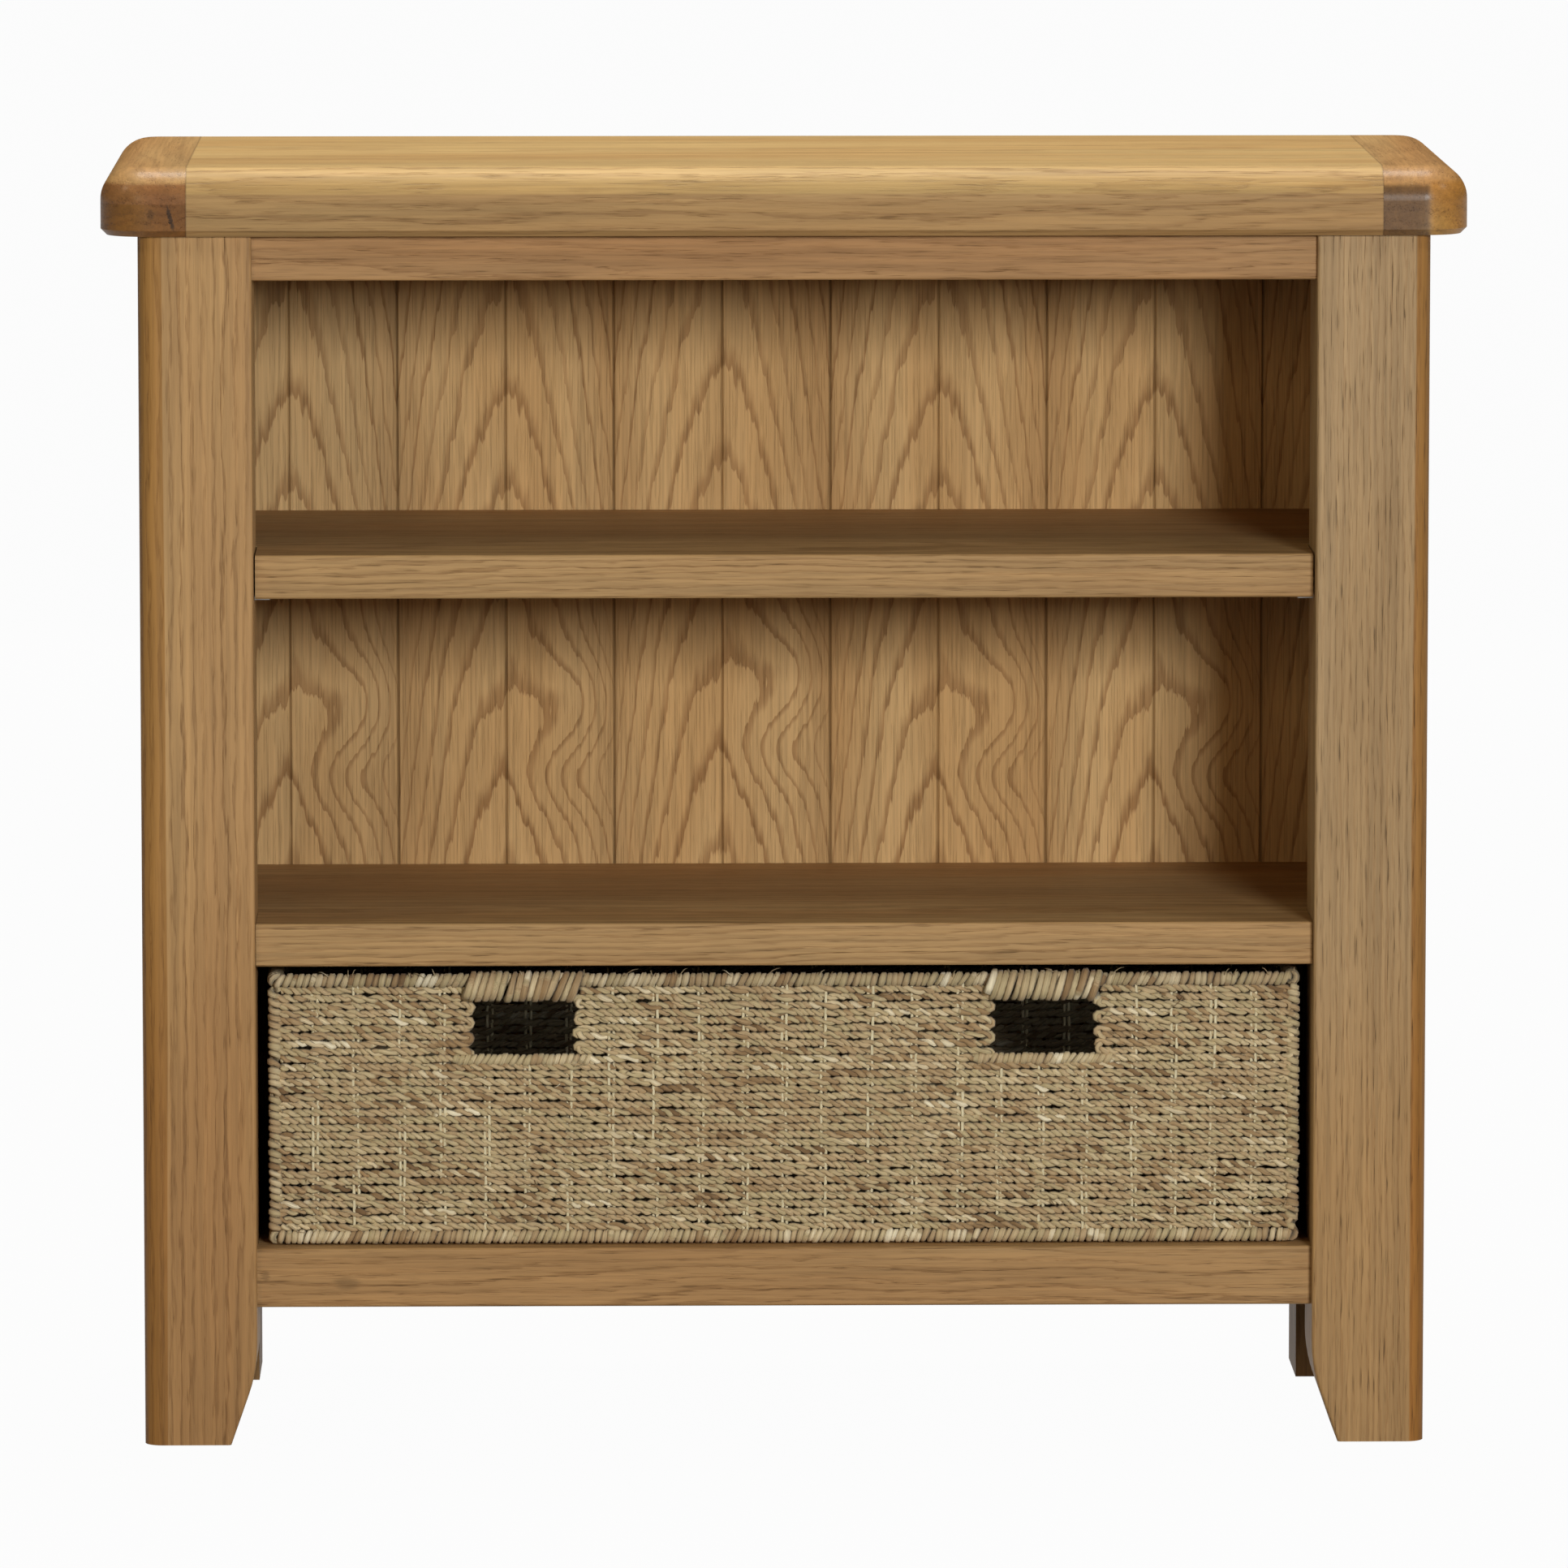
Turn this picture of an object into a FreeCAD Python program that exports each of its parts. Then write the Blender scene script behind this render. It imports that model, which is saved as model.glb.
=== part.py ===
import FreeCAD, Part
import math
import os
import re
import Sketcher

os.makedirs("parts", exist_ok=True)
doc = FreeCAD.newDocument("bookcase")

# Every size of the bookcase in millimetres; words ending in share or count are plain numbers.
SIZES = [
    ("overall_height", 850),
    ("top_width", 900),
    ("top_depth", 350),
    ("top_thickness", 45),
    ("top_round", 22),
    ("top_under_bevel", 4),
    ("top_plan_round", 30),
    ("end_board_width", 57),
    ("board_joint_depth", 225),
    ("tongue_length", 12),
    ("tongue_thickness", 14),
    ("tongue_setback", 40),
    ("side_overhang", 24.5),
    ("front_overhang", 10),
    ("back_overhang", 12),
    ("leg_width", 75),
    ("leg_depth", 75),
    ("rear_leg_width", 53),
    ("leg_outer_round", 12),
    ("leg_arris_round", 2.5),
    ("foot_height", 67),
    ("foot_setback", 17.5),
    ("foot_curve", 100),
    ("rear_foot_reach", 16.5),
    ("rail_thickness", 22),
    ("rail_arris_round", 2),
    ("top_rail_height", 30),
    ("top_rail_recess", 6),
    ("bottom_rail_height", 39.5),
    ("bottom_rail_under", 91),
    ("bottom_rail_recess", 10),
    ("tenon_length", 25),
    ("tenon_thickness", 10),
    ("tenon_shoulder", 5),
    ("joint_gap", 0.3),
    ("side_rail_height", 60),
    ("side_rail_thickness", 20),
    ("side_rail_recess", 8),
    ("panel_thickness", 9),
    ("panel_groove_depth", 8),
    ("back_thickness", 5.5),
    ("back_rebate_width", 8),
    ("back_under", 95),
    ("back_over_gap", 4),
    ("back_groove_count", 10),
    ("back_groove_pitch_share", 0.0873),
    ("back_groove_width", 2.6),
    ("back_groove_depth", 1.3),
    ("board_thickness", 18),
    ("board_tongue_length", 6),
    ("board_tongue_thickness", 6),
    ("cleat_width", 18),
    ("cleat_height", 18),
    ("shelf_thickness", 28.5),
    ("shelf_under", 319.5),
    ("shelf_recess", 10),
    ("shelf_arris_round", 2),
    ("shelf_tenon_width", 50),
    ("shelf_tenon_length", 10),
    ("loose_shelf_thickness", 29),
    ("loose_shelf_under", 564),
    ("loose_shelf_recess", 13),
    ("loose_shelf_gap", 1),
    ("pin_radius", 2.5),
    ("pin_depth", 10),
    ("pin_reach", 10),
    ("pin_width", 9),
    ("pin_blade_thickness", 2.5),
    ("fixing_block_length", 60),
    ("fixing_block_width", 25),
    ("fixing_block_height", 22),
    ("fixing_block_out_share", 0.2),
    ("basket_side_gap", 7),
    ("basket_front_recess", 22),
    ("basket_back_gap", 10.5),
    ("basket_floor_gap", 0.3),
    ("basket_top_gap", 6.7),
    ("rim_radius", 5),
    ("rim_round", 4.5),
    ("rim_seat", 4.2),
    ("weave_thickness", 6),
    ("hole_out_share", 0.2518),
    ("hole_width", 70),
    ("hole_height", 34.5),
    ("grip_radius", 10.5),
    ("grip_drop", 4),
    ("grip_length", 74),
    ("hole_roll_radius", 4.3),
    ("hole_roll_length", 92),
]

sheet = doc.addObject("Spreadsheet::Sheet", "Sizes")
for row, (word, number) in enumerate(SIZES, 1):
    sheet.set("A" + str(row), word)
    sheet.set("B" + str(row), str(number))
    sheet.setAlias("B" + str(row), word)
doc.recompute()

WORDS = re.compile(r"[a-z]+(?:_[a-z]+)+")

# Places shared by many pieces: x to the right, y to the back, z up from the floor.
LEG_X = "(top_width / 2 - side_overhang - leg_width)"
REAR_LEG_X = "(top_width / 2 - side_overhang - rear_leg_width)"
SIDE_RAIL_X = "(top_width / 2 - side_overhang - side_rail_recess - side_rail_thickness)"
FRONT_Y = "(front_overhang - top_depth / 2)"
LEG_BACK_Y = "(front_overhang - top_depth / 2 + leg_depth)"
REAR_LEG_Y = "(top_depth / 2 - back_overhang - leg_depth)"
BACK_PANEL_Y = "(top_depth / 2 - back_overhang - back_thickness)"
UNDER_TOP = "(overall_height - top_thickness)"
FLOOR_BOARD_TOP = "(bottom_rail_under + bottom_rail_height)"
BASKET_UNDER = "(bottom_rail_under + bottom_rail_height + basket_floor_gap)"
BASKET_FRONT = "(front_overhang - top_depth / 2 + basket_front_recess)"
BASKET_HALF = "(top_width / 2 - side_overhang - leg_width - basket_side_gap)"
BASKET_DEEP = "(" + BACK_PANEL_Y + " - basket_back_gap - " + BASKET_FRONT + ")"
BASKET_HIGH = "(shelf_under - basket_top_gap - " + BASKET_UNDER + ")"


def size(word):
    """The value of one size of the sheet."""
    return float(sheet.get(word))


def bind(thing, prop, text):
    """Tie one property of an object to the sizes of the sheet."""
    thing.setExpression(prop, WORDS.sub(lambda found: "Sizes." + found.group(0), text))


def place(thing, at):
    """Tie the position of an object to the sizes of the sheet."""
    for axis, text in zip("xyz", at):
        bind(thing, "Placement.Base." + axis, text)


def block(name, at, span):
    """A rectangular block from its lowest corner and its three lengths."""
    made = doc.addObject("Part::Box", name)
    for prop, text in zip(("Length", "Width", "Height"), span):
        bind(made, prop, text)
    place(made, at)
    return made


def rod(name, at, radius, length, axis):
    """A round rod that starts at a point and runs along one axis."""
    made = doc.addObject("Part::Cylinder", name)
    bind(made, "Radius", radius)
    bind(made, "Height", length)
    turns = {
        "z": FreeCAD.Rotation(),
        "x": FreeCAD.Rotation(FreeCAD.Vector(0, 1, 0), 90),
        "-y": FreeCAD.Rotation(FreeCAD.Vector(1, 0, 0), 90),
    }
    made.Placement = FreeCAD.Placement(FreeCAD.Vector(), turns[axis])
    place(made, at)
    return made


def fuse(name, pieces):
    """One solid from pieces that meet."""
    made = doc.addObject("Part::MultiFuse", name)
    made.Shapes = pieces
    made.Refine = True
    return made


def group(name, pieces):
    """Equal pieces kept as separate solids of one node."""
    made = doc.addObject("Part::Compound", name)
    made.Links = pieces
    made.Label = name
    return made


def cut(name, base, tools):
    """A piece less the room that other pieces take."""
    made = doc.addObject("Part::Cut", name)
    made.Base = base
    if len(tools) == 1:
        made.Tool = tools[0]
    else:
        room = doc.addObject("Part::Compound", name + "_room")
        room.Links = tools
        made.Tool = room
    made.Refine = True
    return made


def overlap(name, first, second):
    """What two pieces have in common."""
    made = doc.addObject("Part::Common", name)
    made.Base = first
    made.Tool = second
    made.Refine = True
    return made


def mirror(name, source):
    """The left-hand twin of a right-hand piece."""
    made = doc.addObject("Part::Mirroring", name)
    made.Source = source
    made.Normal = FreeCAD.Vector(1, 0, 0)
    made.Base = FreeCAD.Vector()
    made.Label = name
    return made


def edges_where(shape, test):
    """Numbers of the edges that pass a test."""
    return [number for number, edge in enumerate(shape.Edges, 1) if test(edge)]


def soften(name, base, radius, test):
    """A piece with some of its edges rounded."""
    doc.recompute()
    made = doc.addObject("Part::Fillet", name)
    made.Base = base
    numbers = edges_where(base.Shape, test)
    made.Edges = [(number, size(radius), size(radius)) for number in numbers]
    return made


def front_run(shape):
    """A test for the long edges along the front of a shape."""
    box = shape.BoundBox
    near = box.YMin + box.YLength / 100

    def test(edge):
        return edge.BoundBox.YMax < near and edge.Length > box.XLength / 2
    return test


def body(name):
    """An empty body."""
    made = doc.addObject("PartDesign::Body", name)
    made.Label = name
    return made


def plane(owner, role):
    """One of the base planes of a body."""
    for item in owner.Origin.OriginFeatures:
        if item.Role == role:
            return item
    raise RuntimeError("no plane " + role)


def sketch(owner, role, name, at):
    """An empty sketch on a base plane of a body, moved by an offset in the plane's own axes."""
    made = owner.newObject("Sketcher::SketchObject", name)
    made.AttachmentSupport = [(plane(owner, role), "")]
    made.MapMode = "FlatFace"
    for axis, text in zip("xyz", at):
        bind(made, "AttachmentOffset.Base." + axis, text)
    return made


def loop(made, points):
    """A closed run of straight lines through some points."""
    count = len(points)
    for number in range(count):
        start = FreeCAD.Vector(*points[number], 0)
        end = FreeCAD.Vector(*points[(number + 1) % count], 0)
        made.addGeometry(Part.LineSegment(start, end), False)
    for number in range(count):
        made.addConstraint(Sketcher.Constraint("Coincident", number, 2, (number + 1) % count, 1))


def rectangle(owner, role, name, at, wide, high):
    """A rectangle with its lower left corner at the offset."""
    made = sketch(owner, role, name, at)
    start = size("leg_width")
    loop(made, [(0, 0), (start, 0), (start, start), (0, start)])
    made.addConstraint(Sketcher.Constraint("Coincident", 0, 1, -1, 1))
    for number in (0, 2):
        made.addConstraint(Sketcher.Constraint("Horizontal", number))
    for number in (1, 3):
        made.addConstraint(Sketcher.Constraint("Vertical", number))
    made.addConstraint(Sketcher.Constraint("DistanceX", 0, 1, 0, 2, start))
    made.renameConstraint(made.ConstraintCount - 1, "wide")
    bind(made, "Constraints.wide", wide)
    made.addConstraint(Sketcher.Constraint("DistanceY", 1, 1, 1, 2, start))
    made.renameConstraint(made.ConstraintCount - 1, "high")
    bind(made, "Constraints.high", high)
    return made


def circle(owner, role, name, at, radius):
    """A circle with its centre at the offset."""
    made = sketch(owner, role, name, at)
    start = size("pin_radius")
    ring = Part.Circle(FreeCAD.Vector(), FreeCAD.Vector(0, 0, 1), start)
    made.addGeometry(ring, False)
    made.addConstraint(Sketcher.Constraint("Coincident", 0, 3, -1, 1))
    made.addConstraint(Sketcher.Constraint("Radius", 0, start))
    made.renameConstraint(made.ConstraintCount - 1, "radius")
    bind(made, "Constraints.radius", radius)
    return made


def pad(owner, profile, name, length, back=False):
    """Material grown from a profile."""
    made = owner.newObject("PartDesign::Pad", name)
    made.Profile = profile
    made.Reversed = back
    bind(made, "Length", length)
    return made


def pocket(owner, profile, name, depth, back=False):
    """Material taken away under a profile; it must make the body smaller."""
    doc.recompute()
    before = owner.Shape.Volume
    made = owner.newObject("PartDesign::Pocket", name)
    made.Profile = profile
    made.Reversed = back
    if depth:
        bind(made, "Length", depth)
    else:
        made.Type = "ThroughAll"
    doc.recompute()
    if not made.Shape.Volume < before:
        raise RuntimeError(owner.Label + " " + name + " takes nothing away")
    return made


def housing(owner, role, name, at, wide, high, depth, back=False):
    """A rectangular recess."""
    profile = rectangle(owner, role, name + "_outline", at, wide, high)
    return pocket(owner, profile, name, depth, back)


def bore(owner, role, name, at, radius, depth, back=False):
    """A round blind hole."""
    profile = circle(owner, role, name + "_outline", at, radius)
    return pocket(owner, profile, name, depth, back)


def round_over(owner, base, name, radius, test):
    """Rounded edges in a body."""
    doc.recompute()
    made = owner.newObject("PartDesign::Fillet", name)
    made.Base = (base, ["Edge" + str(number) for number in edges_where(base.Shape, test)])
    bind(made, "Radius", radius)
    return made


def foot_cut(owner, height, setback, curve):
    """The inner face of a foot: a gentle curve that runs on into a straight taper to the floor."""
    tall = size(height)
    back = size(setback)
    bend = size(curve)
    reach = math.hypot(bend - back, tall)
    end = math.atan2(-tall, back - bend) + 2 * math.pi - math.acos(bend / reach)
    meet = (bend + bend * math.cos(end), tall + bend * math.sin(end))
    made = sketch(owner, "XZ_Plane", "foot_outline", ("0", "0", "0"))
    made.addGeometry(Part.LineSegment(FreeCAD.Vector(0, tall, 0), FreeCAD.Vector()), False)
    made.addGeometry(Part.LineSegment(FreeCAD.Vector(), FreeCAD.Vector(back, 0, 0)), False)
    made.addGeometry(Part.LineSegment(FreeCAD.Vector(back, 0, 0), FreeCAD.Vector(*meet, 0)), False)
    ring = Part.Circle(FreeCAD.Vector(bend, tall, 0), FreeCAD.Vector(0, 0, 1), bend)
    made.addGeometry(Part.ArcOfCircle(ring, math.pi, end), False)
    made.addConstraint(Sketcher.Constraint("Coincident", 0, 2, -1, 1))
    made.addConstraint(Sketcher.Constraint("Coincident", 0, 2, 1, 1))
    made.addConstraint(Sketcher.Constraint("Coincident", 1, 2, 2, 1))
    made.addConstraint(Sketcher.Constraint("Vertical", 0))
    made.addConstraint(Sketcher.Constraint("Horizontal", 1))
    made.addConstraint(Sketcher.Constraint("Tangent", 2, 2, 3, 2))
    made.addConstraint(Sketcher.Constraint("Tangent", 3, 1, 0, 1))
    made.addConstraint(Sketcher.Constraint("Radius", 3, bend))
    made.renameConstraint(made.ConstraintCount - 1, "curve")
    bind(made, "Constraints.curve", curve)
    made.addConstraint(Sketcher.Constraint("DistanceY", 0, 2, 0, 1, tall))
    made.renameConstraint(made.ConstraintCount - 1, "tall")
    bind(made, "Constraints.tall", height)
    made.addConstraint(Sketcher.Constraint("DistanceX", 1, 1, 1, 2, back))
    made.renameConstraint(made.ConstraintCount - 1, "back")
    bind(made, "Constraints.back", setback)
    return pocket(owner, made, "foot", None)


def upright(shape, x_share, y_share):
    """A test for the upright edge at one corner of a block, its corner given as shares of the box."""
    box = shape.BoundBox
    x = box.XMin + x_share * box.XLength
    y = box.YMin + y_share * box.YLength
    near = box.XLength / 100

    def test(edge):
        at = edge.CenterOfMass
        return edge.BoundBox.ZLength > box.ZLength / 2 and math.hypot(at.x - x, at.y - y) < near
    return test


def chosen(*tests):
    """A test that passes when any of its tests does."""
    return lambda edge: any(test(edge) for test in tests)


def low_edges(shape):
    """A test for the edges round the underside of a shape."""
    box = shape.BoundBox
    near = box.ZMin + box.ZLength / 1000
    return lambda edge: edge.BoundBox.ZMax < near


def high_edges(shape):
    """A test for the edges round the upper face of a shape."""
    box = shape.BoundBox
    near = box.ZMax - box.ZLength / 1000
    return lambda edge: edge.BoundBox.ZMin > near


def inner_run(shape, y_share):
    """A test for the inner arris of a leg with its foot, on the front or the back face."""
    box = shape.BoundBox
    y = box.YMin + y_share * box.YLength
    near = box.YLength / 100

    def test(edge):
        at = edge.CenterOfMass
        on_face = abs(at.y - y) < near and edge.BoundBox.YLength < near
        return on_face and at.x < box.XLength / 3 and edge.BoundBox.ZLength > edge.BoundBox.XLength
    return test


# Legs. Each is drawn for the right-hand side with x from its inner face and y from its front face.
TOP_RAIL_TENON_Z = "(overall_height - top_thickness - top_rail_height + tenon_shoulder)"
TOP_RAIL_TENON_HIGH = "(top_rail_height - 2 * tenon_shoulder)"
BOTTOM_RAIL_TENON_Z = "(bottom_rail_under + tenon_shoulder)"
BOTTOM_RAIL_TENON_HIGH = "(bottom_rail_height - 2 * tenon_shoulder)"
SIDE_TENON_HIGH = "(side_rail_height - tenon_shoulder - panel_groove_depth)"
UPPER_SIDE_TENON_Z = "(overall_height - top_thickness - side_rail_height + panel_groove_depth)"
PANEL_UNDER = "(bottom_rail_under + side_rail_height - panel_groove_depth)"
PANEL_ROOM = (
    "(overall_height - top_thickness - 2 * side_rail_height - bottom_rail_under + 2 * panel_groove_depth)"
)
RAIL_TENON_IN = "((rail_thickness - tenon_thickness) / 2)"
MORTISE_DEPTH = "(tenon_length + joint_gap)"
PIN_Z = "(loose_shelf_under - pin_radius)"


def post(name, width, at):
    """The plain block of a leg."""
    made = body(name)
    place(made, at)
    outline = rectangle(made, "XY_Plane", "outline", ("0", "0", "0"), width, "leg_depth")
    pad(made, outline, "post", UNDER_TOP)
    return made


def cross_rail_mortises(leg, top_y, bottom_y):
    """Mortises in the inner face for the rails that run along the bookcase."""
    at = (top_y, TOP_RAIL_TENON_Z, "0")
    wide = "tenon_thickness"
    housing(leg, "YZ_Plane", "top_mortise", at, wide, TOP_RAIL_TENON_HIGH, MORTISE_DEPTH, True)
    at = (bottom_y, BOTTOM_RAIL_TENON_Z, "0")
    housing(leg, "YZ_Plane", "low_mortise", at, wide, BOTTOM_RAIL_TENON_HIGH, MORTISE_DEPTH, True)


def side_mortises(leg, width, y, back):
    """Mortises and the panel groove in the face that looks along the side of the bookcase."""
    in_x = width + " - side_rail_recess - (side_rail_thickness + panel_thickness) / 2"
    at = (in_x, UPPER_SIDE_TENON_Z, y)
    housing(leg, "XZ_Plane", "side_top", at, "panel_thickness", SIDE_TENON_HIGH, MORTISE_DEPTH, back)
    at = (in_x, BOTTOM_RAIL_TENON_Z, y)
    housing(leg, "XZ_Plane", "side_low", at, "panel_thickness", SIDE_TENON_HIGH, MORTISE_DEPTH, back)
    at = (in_x, PANEL_UNDER, y)
    housing(leg, "XZ_Plane", "groove", at, "panel_thickness", PANEL_ROOM, "panel_groove_depth", back)


def shelf_seats(leg):
    """A housing for the middle shelf's tenon and a bore for the pin of the upper shelf."""
    at = ("(leg_depth - shelf_tenon_width) / 2", "shelf_under + tenon_shoulder", "0")
    high = "shelf_thickness - 2 * tenon_shoulder"
    deep = "shelf_tenon_length + joint_gap"
    housing(leg, "YZ_Plane", "shelf_mortise", at, "shelf_tenon_width", high, deep, True)
    at = ("leg_depth / 2", PIN_Z, "0")
    bore(leg, "YZ_Plane", "pin_bore", at, "pin_radius + joint_gap", "pin_depth + joint_gap", True)


front_leg = post("front_leg_right", "leg_width", (LEG_X, FRONT_Y, "0"))
foot_cut(front_leg, "foot_height", "foot_setback", "foot_curve")
outer = round_over(
    front_leg, front_leg.Tip, "outer_arris", "leg_outer_round", upright(front_leg.Tip.Shape, 1, 0)
)
doc.recompute()
round_over(
    front_leg,
    outer,
    "arrises",
    "leg_arris_round",
    chosen(inner_run(outer.Shape, 0), inner_run(outer.Shape, 1), upright(outer.Shape, 1, 1)),
)
cross_rail_mortises(
    front_leg, "top_rail_recess + " + RAIL_TENON_IN, "bottom_rail_recess + " + RAIL_TENON_IN
)
side_mortises(front_leg, "leg_width", "-leg_depth", True)
shelf_seats(front_leg)
front_leg_left = mirror("front_leg_left", front_leg)

rear_leg = post("rear_leg_right", "rear_leg_width", (REAR_LEG_X, REAR_LEG_Y, "0"))
at = ("-rear_foot_reach", "0", "0")
outline = rectangle(rear_leg, "XY_Plane", "foot_outline", at, "rear_foot_reach", "leg_depth")
wide_foot = pad(rear_leg, outline, "wide_foot", "bottom_rail_under")
doc.recompute()
outer_arrises = chosen(upright(wide_foot.Shape, 1, 0), upright(wide_foot.Shape, 1, 1))
round_over(rear_leg, wide_foot, "arrises", "leg_arris_round", outer_arrises)
rear_rail_in = "leg_depth - back_thickness - rail_thickness + " + RAIL_TENON_IN
cross_rail_mortises(rear_leg, rear_rail_in, rear_rail_in)
side_mortises(rear_leg, "rear_leg_width", "0", False)
shelf_seats(rear_leg)
at = ("0", "leg_depth - back_thickness", UNDER_TOP)
deep = UNDER_TOP + " - back_under"
housing(rear_leg, "XY_Plane", "rebate", at, "back_rebate_width", "back_thickness", deep)
rear_leg_left = mirror("rear_leg_left", rear_leg)


# Rails along the bookcase, each with a tenon at both ends.
def front_run_of(piece):
    """A test for the long front edges of a piece."""
    doc.recompute()
    return front_run(piece.Shape)


def cross_rail(name, leg_x, y, z, height, tenon_z, tenon_high):
    """A rail between two legs."""
    at = ("-" + leg_x, y, z)
    plain = block(name + "_bar", at, ("2 * " + leg_x, "rail_thickness", height))
    run = soften(name + "_soft", plain, "rail_arris_round", front_run_of(plain))
    at = ("-" + leg_x + " - tenon_length", y + " + " + RAIL_TENON_IN, tenon_z)
    span = ("2 * " + leg_x + " + 2 * tenon_length", "tenon_thickness", tenon_high)
    core = block(name + "_core", at, span)
    return fuse(name + "_whole", [run, core])


top_rail_y = FRONT_Y + " + top_rail_recess"
bottom_rail_y = FRONT_Y + " + bottom_rail_recess"
rear_rail_y = BACK_PANEL_Y + " - rail_thickness"
top_rail_z = UNDER_TOP + " - top_rail_height"
board_tongue_z = FLOOR_BOARD_TOP + " - (board_thickness + board_tongue_thickness) / 2"

top_tenon = (TOP_RAIL_TENON_Z, TOP_RAIL_TENON_HIGH)
low_tenon = (BOTTOM_RAIL_TENON_Z, BOTTOM_RAIL_TENON_HIGH)
top_front_rail = cross_rail(
    "top_front", LEG_X, top_rail_y, top_rail_z, "top_rail_height", *top_tenon
)
top_front_rail.Label = "top_front_rail"
top_rear_rail = cross_rail(
    "top_rear", REAR_LEG_X, rear_rail_y, top_rail_z, "top_rail_height", *top_tenon
)
top_rear_rail.Label = "top_rear_rail"
low_front = cross_rail(
    "low_front", LEG_X, bottom_rail_y, "bottom_rail_under", "bottom_rail_height", *low_tenon
)
low_rear = cross_rail(
    "low_rear", REAR_LEG_X, rear_rail_y, "bottom_rail_under", "bottom_rail_height", *low_tenon
)

at = ("-" + LEG_X, bottom_rail_y + " + rail_thickness - board_tongue_length", board_tongue_z)
span = ("2 * " + LEG_X, "board_tongue_length", "board_tongue_thickness")
bottom_front_rail = cut("bottom_front_rail", low_front, [block("front_groove", at, span)])
bottom_front_rail.Label = "bottom_front_rail"
at = ("-" + REAR_LEG_X, rear_rail_y, board_tongue_z)
span = ("2 * " + REAR_LEG_X, "board_tongue_length", "board_tongue_thickness")
bottom_rear_rail = cut("bottom_rear_rail", low_rear, [block("rear_groove", at, span)])
bottom_rear_rail.Label = "bottom_rear_rail"


# Sides: an upper and a lower rail between the legs of one side, with a panel in their grooves.
def side_rail(name, z, tenon_z, groove_z):
    """A side rail with a tenon at both ends and a groove for the panel."""
    at = (SIDE_RAIL_X, LEG_BACK_Y, z)
    span = ("side_rail_thickness", REAR_LEG_Y + " - " + LEG_BACK_Y, "side_rail_height")
    plain = block(name + "_rail", at, span)
    in_x = SIDE_RAIL_X + " + (side_rail_thickness - panel_thickness) / 2"
    at = (in_x, LEG_BACK_Y + " - tenon_length", tenon_z)
    span = ("panel_thickness", REAR_LEG_Y + " - " + LEG_BACK_Y + " + 2 * tenon_length", SIDE_TENON_HIGH)
    core = block(name + "_core", at, span)
    at = (in_x, LEG_BACK_Y, groove_z)
    span = ("panel_thickness", REAR_LEG_Y + " - " + LEG_BACK_Y, "panel_groove_depth")
    groove = block(name + "_groove", at, span)
    made = cut(name, fuse(name + "_whole", [plain, core]), [groove])
    made.Label = name
    return made


upper_side_rail = side_rail(
    "upper_side_rail_right", UNDER_TOP + " - side_rail_height", UPPER_SIDE_TENON_Z,
    UNDER_TOP + " - side_rail_height"
)
upper_side_rail_left = mirror("upper_side_rail_left", upper_side_rail)
lower_side_rail = side_rail(
    "lower_side_rail_right", "bottom_rail_under", BOTTOM_RAIL_TENON_Z, PANEL_UNDER
)
lower_side_rail_left = mirror("lower_side_rail_left", lower_side_rail)

at = (
    SIDE_RAIL_X + " + (side_rail_thickness - panel_thickness) / 2",
    LEG_BACK_Y + " - panel_groove_depth + joint_gap",
    PANEL_UNDER + " + joint_gap",
)
span = (
    "panel_thickness",
    REAR_LEG_Y + " - " + LEG_BACK_Y + " + 2 * (panel_groove_depth - joint_gap)",
    PANEL_ROOM + " - 2 * joint_gap",
)
side_panel = block("side_panel_right", at, span)
side_panel.Label = "side_panel_right"
side_panel_left = mirror("side_panel_left", side_panel)


# Back panel: one sheet with upright grooves, seated in rebates of the rear legs.
BACK_HALF = "(" + REAR_LEG_X + " + back_rebate_width - joint_gap)"
GROOVE_RUN = "((top_width - 2 * side_overhang) * back_groove_pitch_share * (back_groove_count - 1))"
panel = body("back_panel")
place(panel, ("0", BACK_PANEL_Y, "back_under"))
outline = rectangle(
    panel, "XY_Plane", "outline", ("-" + BACK_HALF, "0", "0"), "2 * " + BACK_HALF, "back_thickness"
)
pad(panel, outline, "sheet", UNDER_TOP + " - back_over_gap - back_under")
notch = sketch(panel, "XY_Plane", "groove_outline", ("-" + GROOVE_RUN + " / 2", "0", "0"))
half = size("back_groove_width") / 2
deep = size("back_groove_depth")
loop(notch, [(-half, 0), (half, 0), (0, deep)])
notch.addConstraint(Sketcher.Constraint("Symmetric", 0, 1, 0, 2, -1, 1))
notch.addConstraint(Sketcher.Constraint("PointOnObject", 0, 1, -1))
notch.addConstraint(Sketcher.Constraint("PointOnObject", 1, 2, -2))
notch.addConstraint(Sketcher.Constraint("DistanceX", 0, 1, 0, 2, 2 * half))
notch.renameConstraint(notch.ConstraintCount - 1, "wide")
bind(notch, "Constraints.wide", "back_groove_width")
notch.addConstraint(Sketcher.Constraint("DistanceY", -1, 1, 1, 2, deep))
notch.renameConstraint(notch.ConstraintCount - 1, "deep")
bind(notch, "Constraints.deep", "back_groove_depth")
groove = pocket(panel, notch, "groove", None, True)
grooves = panel.newObject("PartDesign::LinearPattern", "grooves")
grooves.Originals = [groove]
grooves.Direction = (notch, ["H_Axis"])
bind(grooves, "Length", GROOVE_RUN)
bind(grooves, "Occurrences", "back_groove_count")
panel.Tip = grooves


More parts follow.
